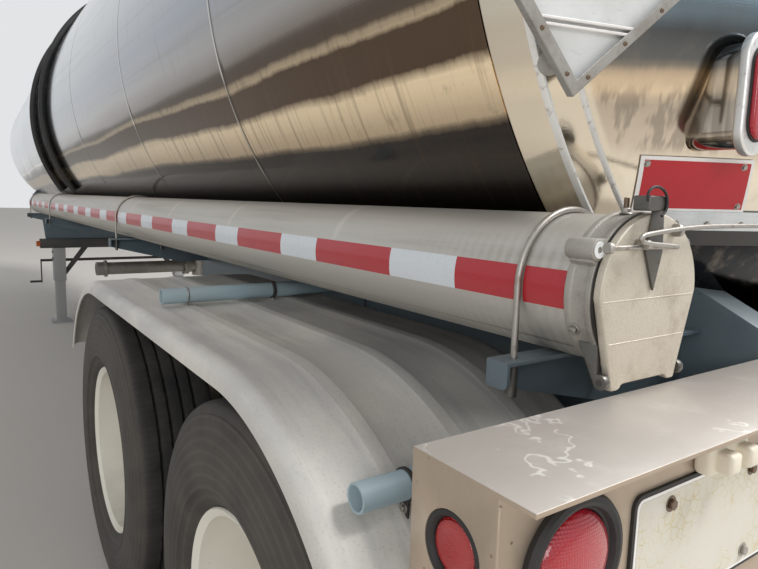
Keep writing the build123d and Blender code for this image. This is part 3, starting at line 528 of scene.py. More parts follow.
@dataclass(frozen=True)
class TubeAluminium(Finish):
    """Dull rolled aluminium of the hose tubes: soiled along its run, darker with painted shade below its
    middle, turned rings at the rear end.
    """

    shade: Tone
    middle_z: float
    rear_x: float

    def mixed(self, recipe: Recipe) -> Material:
        """Mixes long soiling, painted shade below the middle, a low seam line and the rings at the end.

        Args:
            recipe: the material's nodes.

        Returns:
            The material.
        """
        x, _, z = recipe.parts()
        soil = recipe.grain((0.9, 18.0, 18.0), 4.0, 0.6)
        fine = recipe.grain((6.0, 260.0, 260.0), 3.0, 0.6)
        speck = recipe.noise(140.0, 2.0)
        # Painted shade: the tube darkens below its middle.
        below = z.rise(self.middle_z - 0.09, self.middle_z - 0.03, 1.0, 0.0)
        rings = (x * 330.0).sine() * x.rise(self.rear_x + 0.05, self.rear_x + 0.42, 1.0, 0.0)
        seam = z.near(self.middle_z - 0.074, 0.0007, 0.0012) * soil.rise(0.3, 0.6)
        above = z.rise(self.middle_z, self.middle_z + 0.06)
        hoops = (x + soil * 0.01).remainder(0.61).near(0.3, 0.004, 0.012) * above
        # This mix carries the painted shade below the middle together with the soiling.
        grime_and_painted_shade = below * 0.3 + soil.rise(0.4, 0.75) * 0.4 + speck.rise(0.55, 0.8) * 0.12 + rings * 0.09
        colour = recipe.mix(grime_and_painted_shade.rise(0.0, 1.0), self.colour, self.shade)
        colour = recipe.mix(seam * 0.7, colour, (92, 84, 76))
        colour = recipe.mix(hoops * 0.35, colour, (220, 216, 208))
        rough = 0.4 + soil * 0.16 + speck * 0.06
        shape = recipe.bump(fine, 0.00012)
        shape = recipe.bump(rings * 0.5 + 0.5, 0.00025, 1.0, shape)
        return recipe.surface(colour, rough, shape, 0.7)


@dataclass(frozen=True)
class CastMetal(Finish):
    """Sand-cast aluminium: fine grain, darker in its hollows, a few brown stains."""

    stain: Tone
    grain: float = 420.0

    def mixed(self, recipe: Recipe) -> Material:
        """Mixes the grain with cloudy stains.

        Args:
            recipe: the material's nodes.

        Returns:
            The material.
        """
        sand = recipe.noise(self.grain, 3.0, 0.6)
        pits = recipe.cells(self.grain * 0.6).rise(0.1, 0.4, 1.0, 0.0)
        clouds = recipe.noise(16.0, 4.0, 0.6)
        colour = recipe.mix(clouds.rise(0.45, 0.8) * 0.6 + sand.rise(0.5, 0.8) * 0.3, self.colour, self.stain)
        height = sand - pits * 0.5
        rough = 0.5 + sand * 0.14
        return recipe.surface(colour, rough, recipe.bump(height, 0.0004), 0.65)


@dataclass(frozen=True)
class DustySheet(Finish):
    """Fender sheet: dull metal under dust, with speckles, splash marks and old scratches."""

    dust: Tone
    bare: Tone

    def mixed(self, recipe: Recipe) -> Material:
        """Mixes dust clouds, dark and pale specks and scratches.

        Args:
            recipe: the material's nodes.

        Returns:
            The material.
        """
        _, y, z = recipe.parts()
        clouds = recipe.noise(2.2, 6.0, 0.62)
        runs = recipe.grain((2.0, 22.0, 2.0), 3.0, 0.6)
        specks = recipe.noise(210.0, 2.0, 0.6)
        drops = recipe.cells(95.0).rise(0.1, 0.3, 1.0, 0.0) * clouds.rise(0.42, 0.62)
        scratches = recipe.grain((8.0, 150.0, 8.0), 3.0, 0.7).rise(0.64, 0.7)
        worn = z.rise(0.85, 1.1) * y.rise(1.16, 1.19) * clouds.rise(0.35, 0.6)
        colour = recipe.mix(clouds.rise(0.3, 0.72), self.colour, self.dust)
        colour = recipe.mix(runs.rise(0.45, 0.7) * 0.35 + specks.rise(0.55, 0.75) * 0.3, colour, self.bare)
        colour = recipe.mix(drops * 0.28 + scratches * 0.3 + worn * 0.3, colour, self.dust)
        rough = 0.5 + clouds * 0.22 + specks * 0.06 - worn * 0.12
        shape = recipe.bump(clouds, 0.004, 0.7)
        shape = recipe.bump(specks, 0.00015, 1.0, shape)
        return recipe.surface(colour, rough, shape, 0.4)


@dataclass(frozen=True)
class Paint(Finish):
    """Enamel on steel: slight orange peel, dust on what faces up, chips to primer and rust."""

    dust: Tone
    rust: Tone
    gloss: float = 0.38
    chips: float = 0.7
    dusty: float = 0.4

    def mixed(self, recipe: Recipe) -> Material:
        """Mixes dust by the surface's direction with chips and fading.

        Args:
            recipe: the material's nodes.

        Returns:
            The material.
        """
        up = recipe.upward()
        clouds = recipe.noise(5.0, 5.0, 0.6)
        peel = recipe.noise(260.0, 1.0)
        edges = recipe.noise(46.0, 4.0, 0.65)
        chips = edges.rise(self.chips, self.chips + 0.03) * clouds.rise(0.45, 0.6)
        dust = (up.rise(0.1, 0.9) * 0.7 + 0.3) * clouds.rise(0.25, 0.75) * self.dusty
        colour = recipe.mix(dust, self.colour, self.dust)
        colour = recipe.mix(chips, colour, self.rust)
        rough = self.gloss + dust * 0.5 + chips * 0.3
        shape = recipe.bump(peel, 0.0001)
        shape = recipe.bump(1.0 - chips, 0.0003, 1.0, shape)
        return recipe.surface(colour, rough, shape)


@dataclass(frozen=True)
class Rubber(Finish):
    """Black rubber with a bloom of dust."""

    dust: Tone
    gloss: float = 0.5

    def mixed(self, recipe: Recipe) -> Material:
        """Mixes dust clouds over a fine grain.

        Args:
            recipe: the material's nodes.

        Returns:
            The material.
        """
        clouds = recipe.noise(7.0, 5.0, 0.62)
        grain = recipe.noise(300.0, 2.0)
        colour = recipe.mix(clouds.rise(0.3, 0.8) * 0.5 + grain * 0.1, self.colour, self.dust)
        rough = self.gloss + clouds * 0.22
        return recipe.surface(colour, rough, recipe.bump(grain, 0.0002))


@dataclass(frozen=True)
class TyreRubber(Finish):
    """Tread rubber: dust on the ribs' tops and fine cuts across them, plainer walls."""

    dust: Tone
    cuts: float = 168.0

    def mixed(self, recipe: Recipe) -> Material:
        """Reads the tyre's own map: u goes round, v goes from the tread's middle to the bead.

        Args:
            recipe: the material's nodes.

        Returns:
            The material.
        """
        around, out, _ = recipe.parts(recipe.uv)
        tread = out.rise(0.0, 0.06)
        clouds = recipe.noise(9.0, 5.0, 0.6)
        scuffs = recipe.grain((420.0, 40.0, 1.0), 3.0, 0.7, recipe.uv).rise(0.55, 0.75)
        cut = (around * self.cuts).remainder(1.0).near(0.5, 0.05, 0.07) * (1.0 - tread)
        grain = recipe.noise(280.0, 2.0)
        rings = (out * 62.0).sine().rise(0.2, 0.9) * tread
        dust = clouds.rise(0.25, 0.7) * 0.3 + tread * 0.22 + scuffs * 0.12 + rings * 0.14
        colour = recipe.mix(dust, self.colour, self.dust)
        colour = recipe.mix(cut * 0.3, colour, self.colour)
        shape = recipe.bump(grain, 0.0002)
        shape = recipe.bump(1.0 - cut, 0.0004, 1.0, shape)
        return recipe.surface(colour, 0.72 + clouds * 0.18, shape)


@dataclass(frozen=True)
class MarkingTape(Finish):
    """Reflective tape: tiny sealed cells in bands, some dirt."""

    dirt: Tone
    cell: float = 0.006

    def mixed(self, recipe: Recipe) -> Material:
        """Mixes a lattice of cells with dirt and a clear coat.

        Args:
            recipe: the material's nodes.

        Returns:
            The material.
        """
        x, _, z = recipe.parts()
        first = abs((x + z).remainder(self.cell) - self.cell / 2)
        second = abs((x - z).remainder(self.cell) - self.cell / 2)
        lattice = (first * (2 / self.cell)).most(second * (2 / self.cell))
        clouds = recipe.noise(24.0, 4.0, 0.6)
        glints = recipe.noise(240.0, 2.0)
        share = lattice.rise(0.72, 0.95) * 0.35 + glints.rise(0.5, 0.7) * 0.12
        colour = recipe.mix(share, self.colour, self.dirt)
        colour = recipe.mix(clouds.rise(0.55, 0.85) * 0.3, colour, self.dirt)
        shape = recipe.bump(lattice, 0.00015)
        return recipe.surface(colour, 0.34 + clouds * 0.12, shape, coat=(0.4, 0.1))


@dataclass(frozen=True)
class Lens(Finish):
    """Moulded lamp lens: rows and columns of fine prisms under a glossy face."""

    deep: Tone
    prism: float = 0.0046

    def mixed(self, recipe: Recipe) -> Material:
        """Mixes a square field of prisms with a glossy coat.

        Args:
            recipe: the material's nodes.

        Returns:
            The material.
        """
        _, y, z = recipe.parts()
        rows = (z * (FULL_TURN / self.prism)).sine() * 0.5 + 0.5
        columns = (y * (FULL_TURN / self.prism)).sine() * 0.5 + 0.5
        facets = rows * columns
        clouds = recipe.noise(30.0, 3.0)
        share = facets.rise(0.1, 0.8) * 0.55 + clouds.rise(0.6, 0.9) * 0.2
        colour = recipe.mix(share, self.deep, self.colour)
        return recipe.surface(colour, 0.2 + clouds * 0.15, recipe.bump(facets, 0.0006), coat=(0.7, 0.08))


@dataclass(frozen=True)
class SignFace(Finish):
    """A blank painted or filmed panel: chalking, thin scratches and grime from its edges."""

    grime: Tone
    crackle: float = 0.0

    def mixed(self, recipe: Recipe) -> Material:
        """Mixes grime with scratches, and a crackle where the sheeting is old.

        Args:
            recipe: the material's nodes.

        Returns:
            The material.
        """
        clouds = recipe.noise(11.0, 5.0, 0.65)
        scratches = recipe.grain((30.0, 30.0, 260.0), 3.0, 0.7).rise(0.6, 0.68)
        cracks = recipe.cells(75.0, "DISTANCE_TO_EDGE").rise(0.0, 0.05, 1.0, 0.0) * clouds.rise(0.4, 0.6)
        share = clouds.rise(0.4, 0.85) * 0.35 + scratches * 0.22 + cracks * self.crackle
        colour = recipe.mix(share, self.colour, self.grime)
        shape = recipe.bump(1.0 - cracks * self.crackle, 0.0003)
        return recipe.surface(colour, 0.36 + clouds * 0.2, shape)


@dataclass(frozen=True)
class Zinc(Finish):
    """Plated or bare fasteners and rods, with a little rust."""

    rust: Tone

    def mixed(self, recipe: Recipe) -> Material:
        """Mixes rust patches over plating.

        Args:
            recipe: the material's nodes.

        Returns:
            The material.
        """
        patches = recipe.noise(60.0, 4.0, 0.6)
        fine = recipe.noise(500.0, 2.0)
        colour = recipe.mix(patches.rise(0.55, 0.75) * 0.6, self.colour, self.rust)
        rough = 0.3 + patches * 0.25 + fine * 0.08
        return recipe.surface(colour, rough, recipe.bump(fine, 0.0001), 0.9)


@dataclass(frozen=True)
class StudioFloor(Finish):
    """The plain floor, a little uneven in tone."""

    def mixed(self, recipe: Recipe) -> Material:
        """Mixes two near tones.

        Args:
            recipe: the material's nodes.

        Returns:
            The material.
        """
        clouds = recipe.noise(0.6, 4.0)
        darker = (*(0.93 * value for value in linear(self.colour)[:3]), 1.0)
        colour = recipe.mix(clouds, self.colour, darker)
        return recipe.surface(colour, 0.85)


# Painted reflections by height on the barrel: dark low tones for shaded ground and the tube, a tan band for
# sunlit ground, greys and pale blue for sky.
TANK_REFLECTION_BANDS = (
    (1.06, (104, 92, 82)),
    (1.20, (72, 66, 62)),
    (1.42, (76, 70, 66)),
    (1.474, (74, 68, 64)),
    (1.482, (88, 82, 78)),
    (1.572, (82, 76, 72)),
    (1.582, (246, 222, 188)),
    (1.660, (252, 232, 198)),
    (1.670, (90, 74, 62)),
    (1.738, (100, 84, 70)),
    (1.744, (228, 208, 178)),
    (1.757, (206, 188, 162)),
    (1.764, (112, 100, 90)),
    (1.81, (132, 122, 114)),
    (1.86, (158, 154, 150)),
    (1.98, (152, 156, 162)),
    (2.2, (182, 186, 190)),
    (2.6, (192, 198, 206)),
    (3.1, (222, 222, 222)),
)
# Painted reflections by height on the rear head: near-black painted shade below the sill, cream for sunlit
# ground, greys and pale blue for sky above.
HEAD_REFLECTION_AND_SHADE_BANDS = (
    (1.07, (40, 42, 44)),
    (1.385, (28, 30, 33)),
    (1.405, (206, 200, 188)),
    (1.50, (222, 212, 194)),
    (1.535, (196, 184, 168)),
    (1.595, (176, 164, 148)),
    (1.61, (214, 194, 166)),
    (1.635, (196, 176, 150)),
    (1.65, (104, 104, 102)),
    (1.695, (96, 100, 102)),
    (1.72, (150, 168, 180)),
    (1.80, (168, 188, 202)),
    (2.2, (204, 212, 220)),
    (3.1, (216, 218, 220)),
)
TANK_STEEL = MirrorSteel(
    "tank_mirror_steel", Slot.POLISHED, (205, 196, 186), TANK_REFLECTION_BANDS, (108, 90, 74),
    seams=(-4.004, -2.921, -1.641, 0.3), gloss=0.075, drift=0.008,
)
HEAD_STEEL = MirrorSteel(
    "head_mirror_steel", Slot.POLISHED, (208, 203, 196), HEAD_REFLECTION_AND_SHADE_BANDS, (150, 140, 128),
    gloss=0.08, painted_reflection_zone=(1.52, 1.63),
)
# Two bands paint a plain reflection: darker low, paler high.
LID_STEEL = MirrorSteel(
    "lid_mirror_steel", Slot.POLISHED, (208, 203, 196), ((0.9, (170, 168, 164)), (3.3, (214, 215, 216))),
    (150, 140, 128),
)
BRIGHT_TRIM = Zinc("bright_trim", Slot.POLISHED, (226, 226, 224), (150, 140, 128))
BRUSHED = BrushedSheet("brushed_sheet", Slot.BRUSHED, (160, 157, 152), (118, 110, 100), (196, 192, 186))
BUMPER_SHEET = BumperSheet("bumper_sheet", Slot.BRUSHED, (180, 174, 167), (178, 160, 140), (96, 70, 52))
SILL_SHEET = BrushedSheet("sill_sheet", Slot.BRUSHED, (206, 214, 220), (150, 150, 148), (230, 232, 232))
PLAIN_ALUMINIUM = CastMetal("plain_aluminium", Slot.ALUMINIUM, (172, 170, 166), (130, 122, 110), 160.0)
CAST = CastMetal("cast_aluminium", Slot.ALUMINIUM, (202, 194, 180), (148, 134, 116))
CAST_RING = CastMetal("cast_ring_aluminium", Slot.ALUMINIUM, (170, 166, 159), (122, 114, 104))
TUBE = TubeAluminium("dull_tube_aluminium", Slot.ALUMINIUM, (192, 189, 183), (142, 134, 124), 1.329, -5.2196)
FENDER_SHEET = DustySheet("fender_sheet", Slot.FENDER, (200, 198, 194), (226, 221, 212), (154, 156, 158))
SLATE = Paint("slate_paint", Slot.FRAME, (84, 99, 108), (150, 154, 152), (92, 62, 44))
PIPE_PAINT = Paint("pale_pipe_paint", Slot.FRAME, (150, 170, 178), (178, 186, 186), (92, 62, 44), 0.34)
DARK = Paint("dark_frame_paint", Slot.DARK, (44, 46, 48), (120, 108, 94), (84, 56, 40), 0.5, 0.66, 0.6)
ENAMEL = Paint("cream_wheel_enamel", Slot.WHEEL, (232, 228, 216), (170, 160, 144), (98, 68, 48), 0.34, 0.7)
LAMP_CASTING = Paint(
    "cream_lamp_casting", Slot.WHEEL, (220, 212, 194), (170, 158, 138), (98, 76, 56), 0.42, 0.8, 0.3
)
TYRE = TyreRubber("dusty_tyre_rubber", Slot.TYRE, (32, 32, 33), (96, 90, 82))
RUBBER = Rubber("black_hose_rubber", Slot.RUBBER, (20, 20, 21), (62, 58, 55))
RED_TAPE = MarkingTape("red_marking_tape", Slot.RED, (176, 16, 34), (108, 12, 22))
WHITE_TAPE = MarkingTape("white_marking_tape", Slot.ALUMINIUM, (214, 220, 226), (150, 156, 162))
RED_LENS = Lens("red_lamp_lens", Slot.RED, (200, 16, 46), (164, 8, 32), 0.0032)
DEEP_LENS = Lens("deep_red_lamp_lens", Slot.RED, (184, 18, 24), (160, 12, 18), 0.0024)
AMBER_LENS = Lens("amber_lamp_lens", Slot.AMBER, (236, 138, 30), (168, 74, 8))
WHITE_PANEL = SignFace("white_panel", Slot.ALUMINIUM, (222, 224, 224), (166, 164, 160))
RED_SIGN = SignFace("red_sign_face", Slot.RED, (184, 26, 40), (132, 36, 42))
PALE_BORDER = SignFace("sign_border", Slot.ALUMINIUM, (236, 234, 232), (182, 174, 168))
BLANK_PLATE = SignFace("blank_plate", Slot.ALUMINIUM, (206, 202, 190), (196, 176, 118), 0.8)
ZINC = Zinc("zinc_fasteners", Slot.ALUMINIUM, (164, 160, 154), (112, 88, 66))
WORN_STEEL = Zinc("worn_dark_steel", Slot.DARK, (104, 102, 98), (78, 66, 56))
LEG_PAINT = Paint("grey_leg_paint", Slot.DARK, (150, 152, 152), (172, 166, 156), (98, 70, 50), 0.45)
RUSTY = Zinc("rusty_fasteners", Slot.DARK, (112, 96, 82), (88, 60, 42))
KINGPIN = Zinc("kingpin_steel_finish", Slot.PIN, (120, 116, 112), (96, 72, 52))
FLOOR = StudioFloor("studio_floor", Slot.BRUSHED, (214, 209, 202))


def outwards(shape: Shape) -> Shape:
    """Turns a shape's faces outwards and gives it back."""
    bmesh.ops.recalc_face_normals(shape, faces=shape.faces)
    return shape


def verts_of(parts: Iterable) -> list[bmesh.types.BMVert]:
    """The corners among a shape's parts."""
    return [part for part in parts if isinstance(part, bmesh.types.BMVert)]


def edges_of(parts: Iterable) -> list[bmesh.types.BMEdge]:
    """The edges among a shape's parts."""
    return [part for part in parts if isinstance(part, bmesh.types.BMEdge)]


def lathe(profile: Sequence[Flat], steps: int = 96, closed: bool = False) -> Shape:
    """Spins a profile a full turn about the local Z axis.

    Args:
        profile: radius and height of each point, in order.
        steps: how many stretches go round.
        closed: whether the last point joins the first.

    Returns:
        The turned shape, with its faces outwards.
    """
    shape = bmesh.new()
    points = [shape.verts.new((radius, 0.0, height)) for radius, height in profile]
    runs = list(zip(points, points[1:] + (points[:1] if closed else [])))
    edges = [shape.edges.new(run) for run in runs]
    bmesh.ops.spin(
        shape, geom=points + edges, cent=(0, 0, 0), axis=UPWARDS, angle=FULL_TURN, steps=steps, use_merge=True
    )
    bmesh.ops.remove_doubles(shape, verts=shape.verts, dist=1e-6)
    return outwards(shape)


def pin(radius: float, low: float, high: float, steps: int = 96, edge: float = 0.0, facets: int = 1) -> Shape:
    """A turned pin or disc about local Z.

    Args:
        radius: its radius.
        low: where it starts.
        high: where it ends.
        steps: how many stretches go round.
        edge: how wide its rounded edges are, or 0 for none.
        facets: how many facets those have.

    Returns:
        The closed pin.
    """
    shape = lathe([(0, low), (radius, low), (radius, high), (0, high)], steps)
    return soften(shape, edge, facets) if edge else shape


def collar(
    inner: float, outer: float, low: float, high: float, steps: int, edge: float = 0.0, facets: int = 1
) -> Shape:
    """A turned ring about local Z.

    Args:
        inner: its inner radius.
        outer: its outer radius.
        low: where it starts.
        high: where it ends.
        steps: how many stretches go round.
        edge: how wide its rounded edges are, or 0 for none.
        facets: how many facets those have.

    Returns:
        The closed ring.
    """
    shape = lathe([(inner, low), (outer, low), (outer, high), (inner, high)], steps, closed=True)
    return soften(shape, edge, facets) if edge else shape


def sheet_cut(outline: Sequence[Flat], thickness: float) -> Shape:
    """A flat outline in local X and Y, made thick towards local +Z.

    Args:
        outline: its corners in order.
        thickness: its thickness.

    Returns:
        The closed plate.
    """
    shape = bmesh.new()
    face = shape.faces.new([shape.verts.new((x, y, 0.0)) for x, y in outline])
    raised = bmesh.ops.extrude_face_region(shape, geom=[face])["geom"]
    top = verts_of(raised)
    bmesh.ops.translate(shape, verts=top, vec=(0, 0, thickness))
    return outwards(shape)


def block(low: Point, high: Point) -> Shape:
    """A box between two corners.

    Args:
        low: its lowest corner.
        high: its highest corner.

    Returns:
        The box.
    """
    shape = bmesh.new()
    size = Vector(high) - Vector(low)
    middle = (Vector(high) + Vector(low)) / 2
    bmesh.ops.create_cube(shape, size=1.0, matrix=Matrix.Translation(middle) @ Matrix.Diagonal(size.to_4d()))
    return shape


def circle(radius: float, count: int) -> list[Flat]:
    """Points round a circle, the last one short of the first."""
    return arc((0, 0), radius, 0, 360 - 360 / count, count - 1)


def arc(middle: Flat, radius: float, start: float, end: float, count: int) -> list[Flat]:
    """Points along an arc.

    Args:
        middle: its centre.
        radius: its radius.
        start: its first angle in degrees.
        end: its last angle in degrees.
        count: how many stretches it has.

    Returns:
        The points, both ends among them.
    """
    turns = [math.radians(start + (end - start) * step / count) for step in range(count + 1)]
    return [(middle[0] + radius * math.cos(t), middle[1] + radius * math.sin(t)) for t in turns]


def soften(shape: Shape, width: float, segments: int = 2, angle: float = 30.0) -> Shape:
    """Rounds a shape's sharp edges.

    Args:
        shape: the shape, which is changed.
        width: how wide each rounded edge is.
        segments: how many facets it has.
        angle: edges that turn by more than this, in degrees, are rounded.

    Returns:
        The same shape.
    """
    limit = math.radians(angle)
    edges = [edge for edge in shape.edges if len(edge.link_faces) == 2 and edge.calc_face_angle() > limit]
    look = {"affect": "EDGES", "segments": segments, "profile": 0.5, "material": -1}
    bmesh.ops.bevel(shape, geom=edges, offset=width, offset_type="OFFSET", clamp_overlap=True, **look)
    return shape


def bent_rod(points: Sequence[Point], radius: float, order: int = 3, sides: int = 4) -> Shape:
    """A round rod that follows a smooth line near its points.

    Args:
        points: the line's control points.
        radius: the rod's radius.
        order: 2 for straight runs, 3 or more for rounded bends.
        sides: the roundness of its section.

    Returns:
        The rod with closed ends.
    """
    line = bpy.data.curves.new("rod_line", "CURVE")
    line.dimensions = "3D"
    line.bevel_depth = radius
    line.bevel_resolution = sides
    line.use_fill_caps = True
    line.resolution_u = 8
    spline = line.splines.new("NURBS")
    spline.points.add(len(points) - 1)
    for control, point in zip(spline.points, points):
        control.co = (*point, 1.0)
    spline.order_u = order
    spline.use_endpoint_u = True
    holder = bpy.data.objects.new("rod_line", line)
    mesh = bpy.data.meshes.new_from_object(holder)
    shape = bmesh.new()
    shape.from_mesh(mesh)
    bpy.data.objects.remove(holder)
    bpy.data.curves.remove(line)
    bpy.data.meshes.remove(mesh)
    bmesh.ops.remove_doubles(shape, verts=shape.verts, dist=1e-6)
    return outwards(shape)


def hex_bolt(radius: float, height: float, washer: float = 1.5) -> Shape:
    """A hexagon head on a washer, standing on local XY.

    Args:
        radius: the head's half width over its corners.
        height: the head's height.
        washer: the washer's radius over the head's.

    Returns:
        The bolt's head and washer.
    """
    shape = pin(radius * washer, 0, height * 0.2, 20)
    head = at(0, 0, height * 0.6)
    bmesh.ops.create_cone(
        shape, cap_ends=True, segments=6, radius1=radius, radius2=radius, depth=height * 0.8, matrix=head
    )
    return soften(shape, radius * 0.12, 1)


def facing(point: Iterable[float], direction: Iterable[float], turn: float = 0.0) -> Matrix:
    """The place that puts local Z along a direction.

    Args:
        point: where the local origin goes.
        direction: where local Z goes.
        turn: a turn about that direction, in degrees.

    Returns:
        The matrix.
    """
    look = Vector(direction).to_track_quat("Z", "Y").to_matrix().to_4x4()
    return at(*point) @ look @ turned(turn)


def across(x: float) -> Matrix:
    """The place of a shape drawn across the trailer: local X is +Y, local Y is up, local Z is forward."""
    return Matrix(((0, 0, 1, x), (1, 0, 0, 0), (0, 1, 0, 0), (0, 0, 0, 1)))


def along(y: float) -> Matrix:
    """The place of a shape drawn along the trailer: local X is ahead, local Y is up, local Z is right."""
    return Matrix(((1, 0, 0, 0), (0, 0, -1, y), (0, 1, 0, 0), (0, 0, 0, 1)))


def at(x: float, y: float, z: float = 0.0) -> Matrix:
    """The place of a shape that is only moved."""
    return Matrix.Translation((x, y, z))


def turned(degrees: float) -> Matrix:
    """A turn about local Z."""
    return Matrix.Rotation(math.radians(degrees), 4, "Z")


def mirrored(shape: Shape) -> Shape:
    """Turns a shape into its mirror image on the other side.

    Args:
        shape: the shape, which is changed.

    Returns:
        The same shape.
    """
    shape.transform(Matrix.Diagonal((1, -1, 1, 1)))
    bmesh.ops.reverse_faces(shape, faces=shape.faces)
    return shape


def round_about(middle: Point, radius: float, count: int, axis: int) -> tuple[Point, ...]:
    """Places round a middle, in the plane across one axis.

    Args:
        middle: the middle.
        radius: how far out they lie.
        count: how many there are.
        axis: 0, 1 or 2 for the axis that they lie across.

    Returns:
        The places.
    """
    places = []
    for first, second in circle(radius, count):
        place = list(middle)
        place[(axis + 1) % 3] += first
        place[(axis + 2) % 3] += second
        places.append(tuple(place))
    return tuple(places)


class Work:
    """One piece in the making: shapes are taken in with their finish, and then it is finished and placed."""

    def __init__(self, name: str) -> None:
        """An empty piece."""
        self.name = name
        self.mesh = bmesh.new()
        self.finishes: list[Finish] = []

    def take(
        self, shape: Shape, finish: Finish, place: Matrix | None = None, both_sides: bool = False
    ) -> "Work":
        """Takes a shape in and frees it.

        Args:
            shape: the shape.
            finish: its finish.
            place: where it goes.
            both_sides: whether its mirror image on the other side is taken too.

        Returns:
            This piece.
        """
        if finish not in self.finishes:
            self.finishes.append(finish)
        for face in shape.faces:
            face.material_index = self.finishes.index(finish)
        if place is not None:
            shape.transform(place)
        holder = bpy.data.meshes.new("shape")
        shape.to_mesh(holder)
        self.mesh.from_mesh(holder)
        if both_sides:
            mirrored(shape).to_mesh(holder)
            self.mesh.from_mesh(holder)
        shape.free()
        bpy.data.meshes.remove(holder)
        return self

    def take_node(self, node: Node, finish: Finish, edge: float = 0.0) -> "Work":
        """Takes a merged copy of a solid's mesh in, with its edges rounded.

        Args:
            node: the solid's object.
            finish: its finish.
            edge: how wide its rounded edges are, or 0 for none.

        Returns:
            This piece.
        """
        shape = bmesh.new()
        shape.from_mesh(node.data)
        bmesh.ops.remove_doubles(shape, verts=shape.verts, dist=2e-5)
        if edge:
            bmesh.ops.dissolve_limit(
                shape, angle_limit=math.radians(0.4), verts=shape.verts, edges=shape.edges, delimit={"NORMAL"}
            )
            soften(shape, edge)
        return self.take(shape, finish)

    def finish(self, *replaces: str, body: str = CHASSIS) -> None:
        """Makes the object, lets it ride and hides the solids that it stands for.

        Args:
            replaces: the solids that it stands for.
            body: the body that it rides on.
        """
        mesh = bpy.data.meshes.new(self.name)
        self.mesh.to_mesh(mesh)
        self.mesh.free()
        for finish in self.finishes:
            mesh.materials.append(finish.material())
        mesh.shade_smooth()
        mesh.set_sharp_from_angle(angle=SHARP_ANGLE)
        piece = bpy.data.objects.new(self.name, mesh)
        bpy.context.scene.collection.objects.link(piece)
        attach(piece, body)
        if replaces:
            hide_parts(*replaces)
        log.info("%s: %d faces, rides on %s", self.name, len(mesh.polygons), body)


def carved(shape: Shape, cutters: Sequence[Shape]) -> Shape:
    """Cuts closed shapes out of a closed shape.

    Args:
        shape: the shape, which is freed.
        cutters: what is cut away; they are freed too.

    Returns:
        What is left.
    """
    holders = []
    for part in (shape, *cutters):
        mesh = bpy.data.meshes.new("carving")
        part.to_mesh(mesh)
        part.free()
        holder = bpy.data.objects.new("carving", mesh)
        bpy.context.scene.collection.objects.link(holder)
        holders.append(holder)
    for cutter in holders[1:]:
        step = holders[0].modifiers.new("cut", "BOOLEAN")
        step.operation = "DIFFERENCE"
        step.solver = "EXACT"
        step.object = cutter
    result = bpy.data.meshes.new_from_object(holders[0].evaluated_get(bpy.context.evaluated_depsgraph_get()))
    left = bmesh.new()
    left.from_mesh(result)
    bpy.data.meshes.remove(result)
    for holder in holders:
        bpy.data.meshes.remove(holder.data)
    return left


@dataclass(frozen=True)
class WheelEnd:
    """Where one pair of wheels stands."""

    name: str
    x: float
    side: int


WHEEL_ENDS = [
    WheelEnd("front_left", -3.381, 1),
    WheelEnd("front_right", -3.381, -1),
    WheelEnd("rear_left", -4.625, 1),
    WheelEnd("rear_right", -4.625, -1),
]


@dataclass(frozen=True)
class Bolts:
    """A set of equal bolts: where they stand, which way they point and how large they are."""

    points: tuple[Point, ...]
    way: Point
    radius: float
    height: float
    both_sides: bool = True


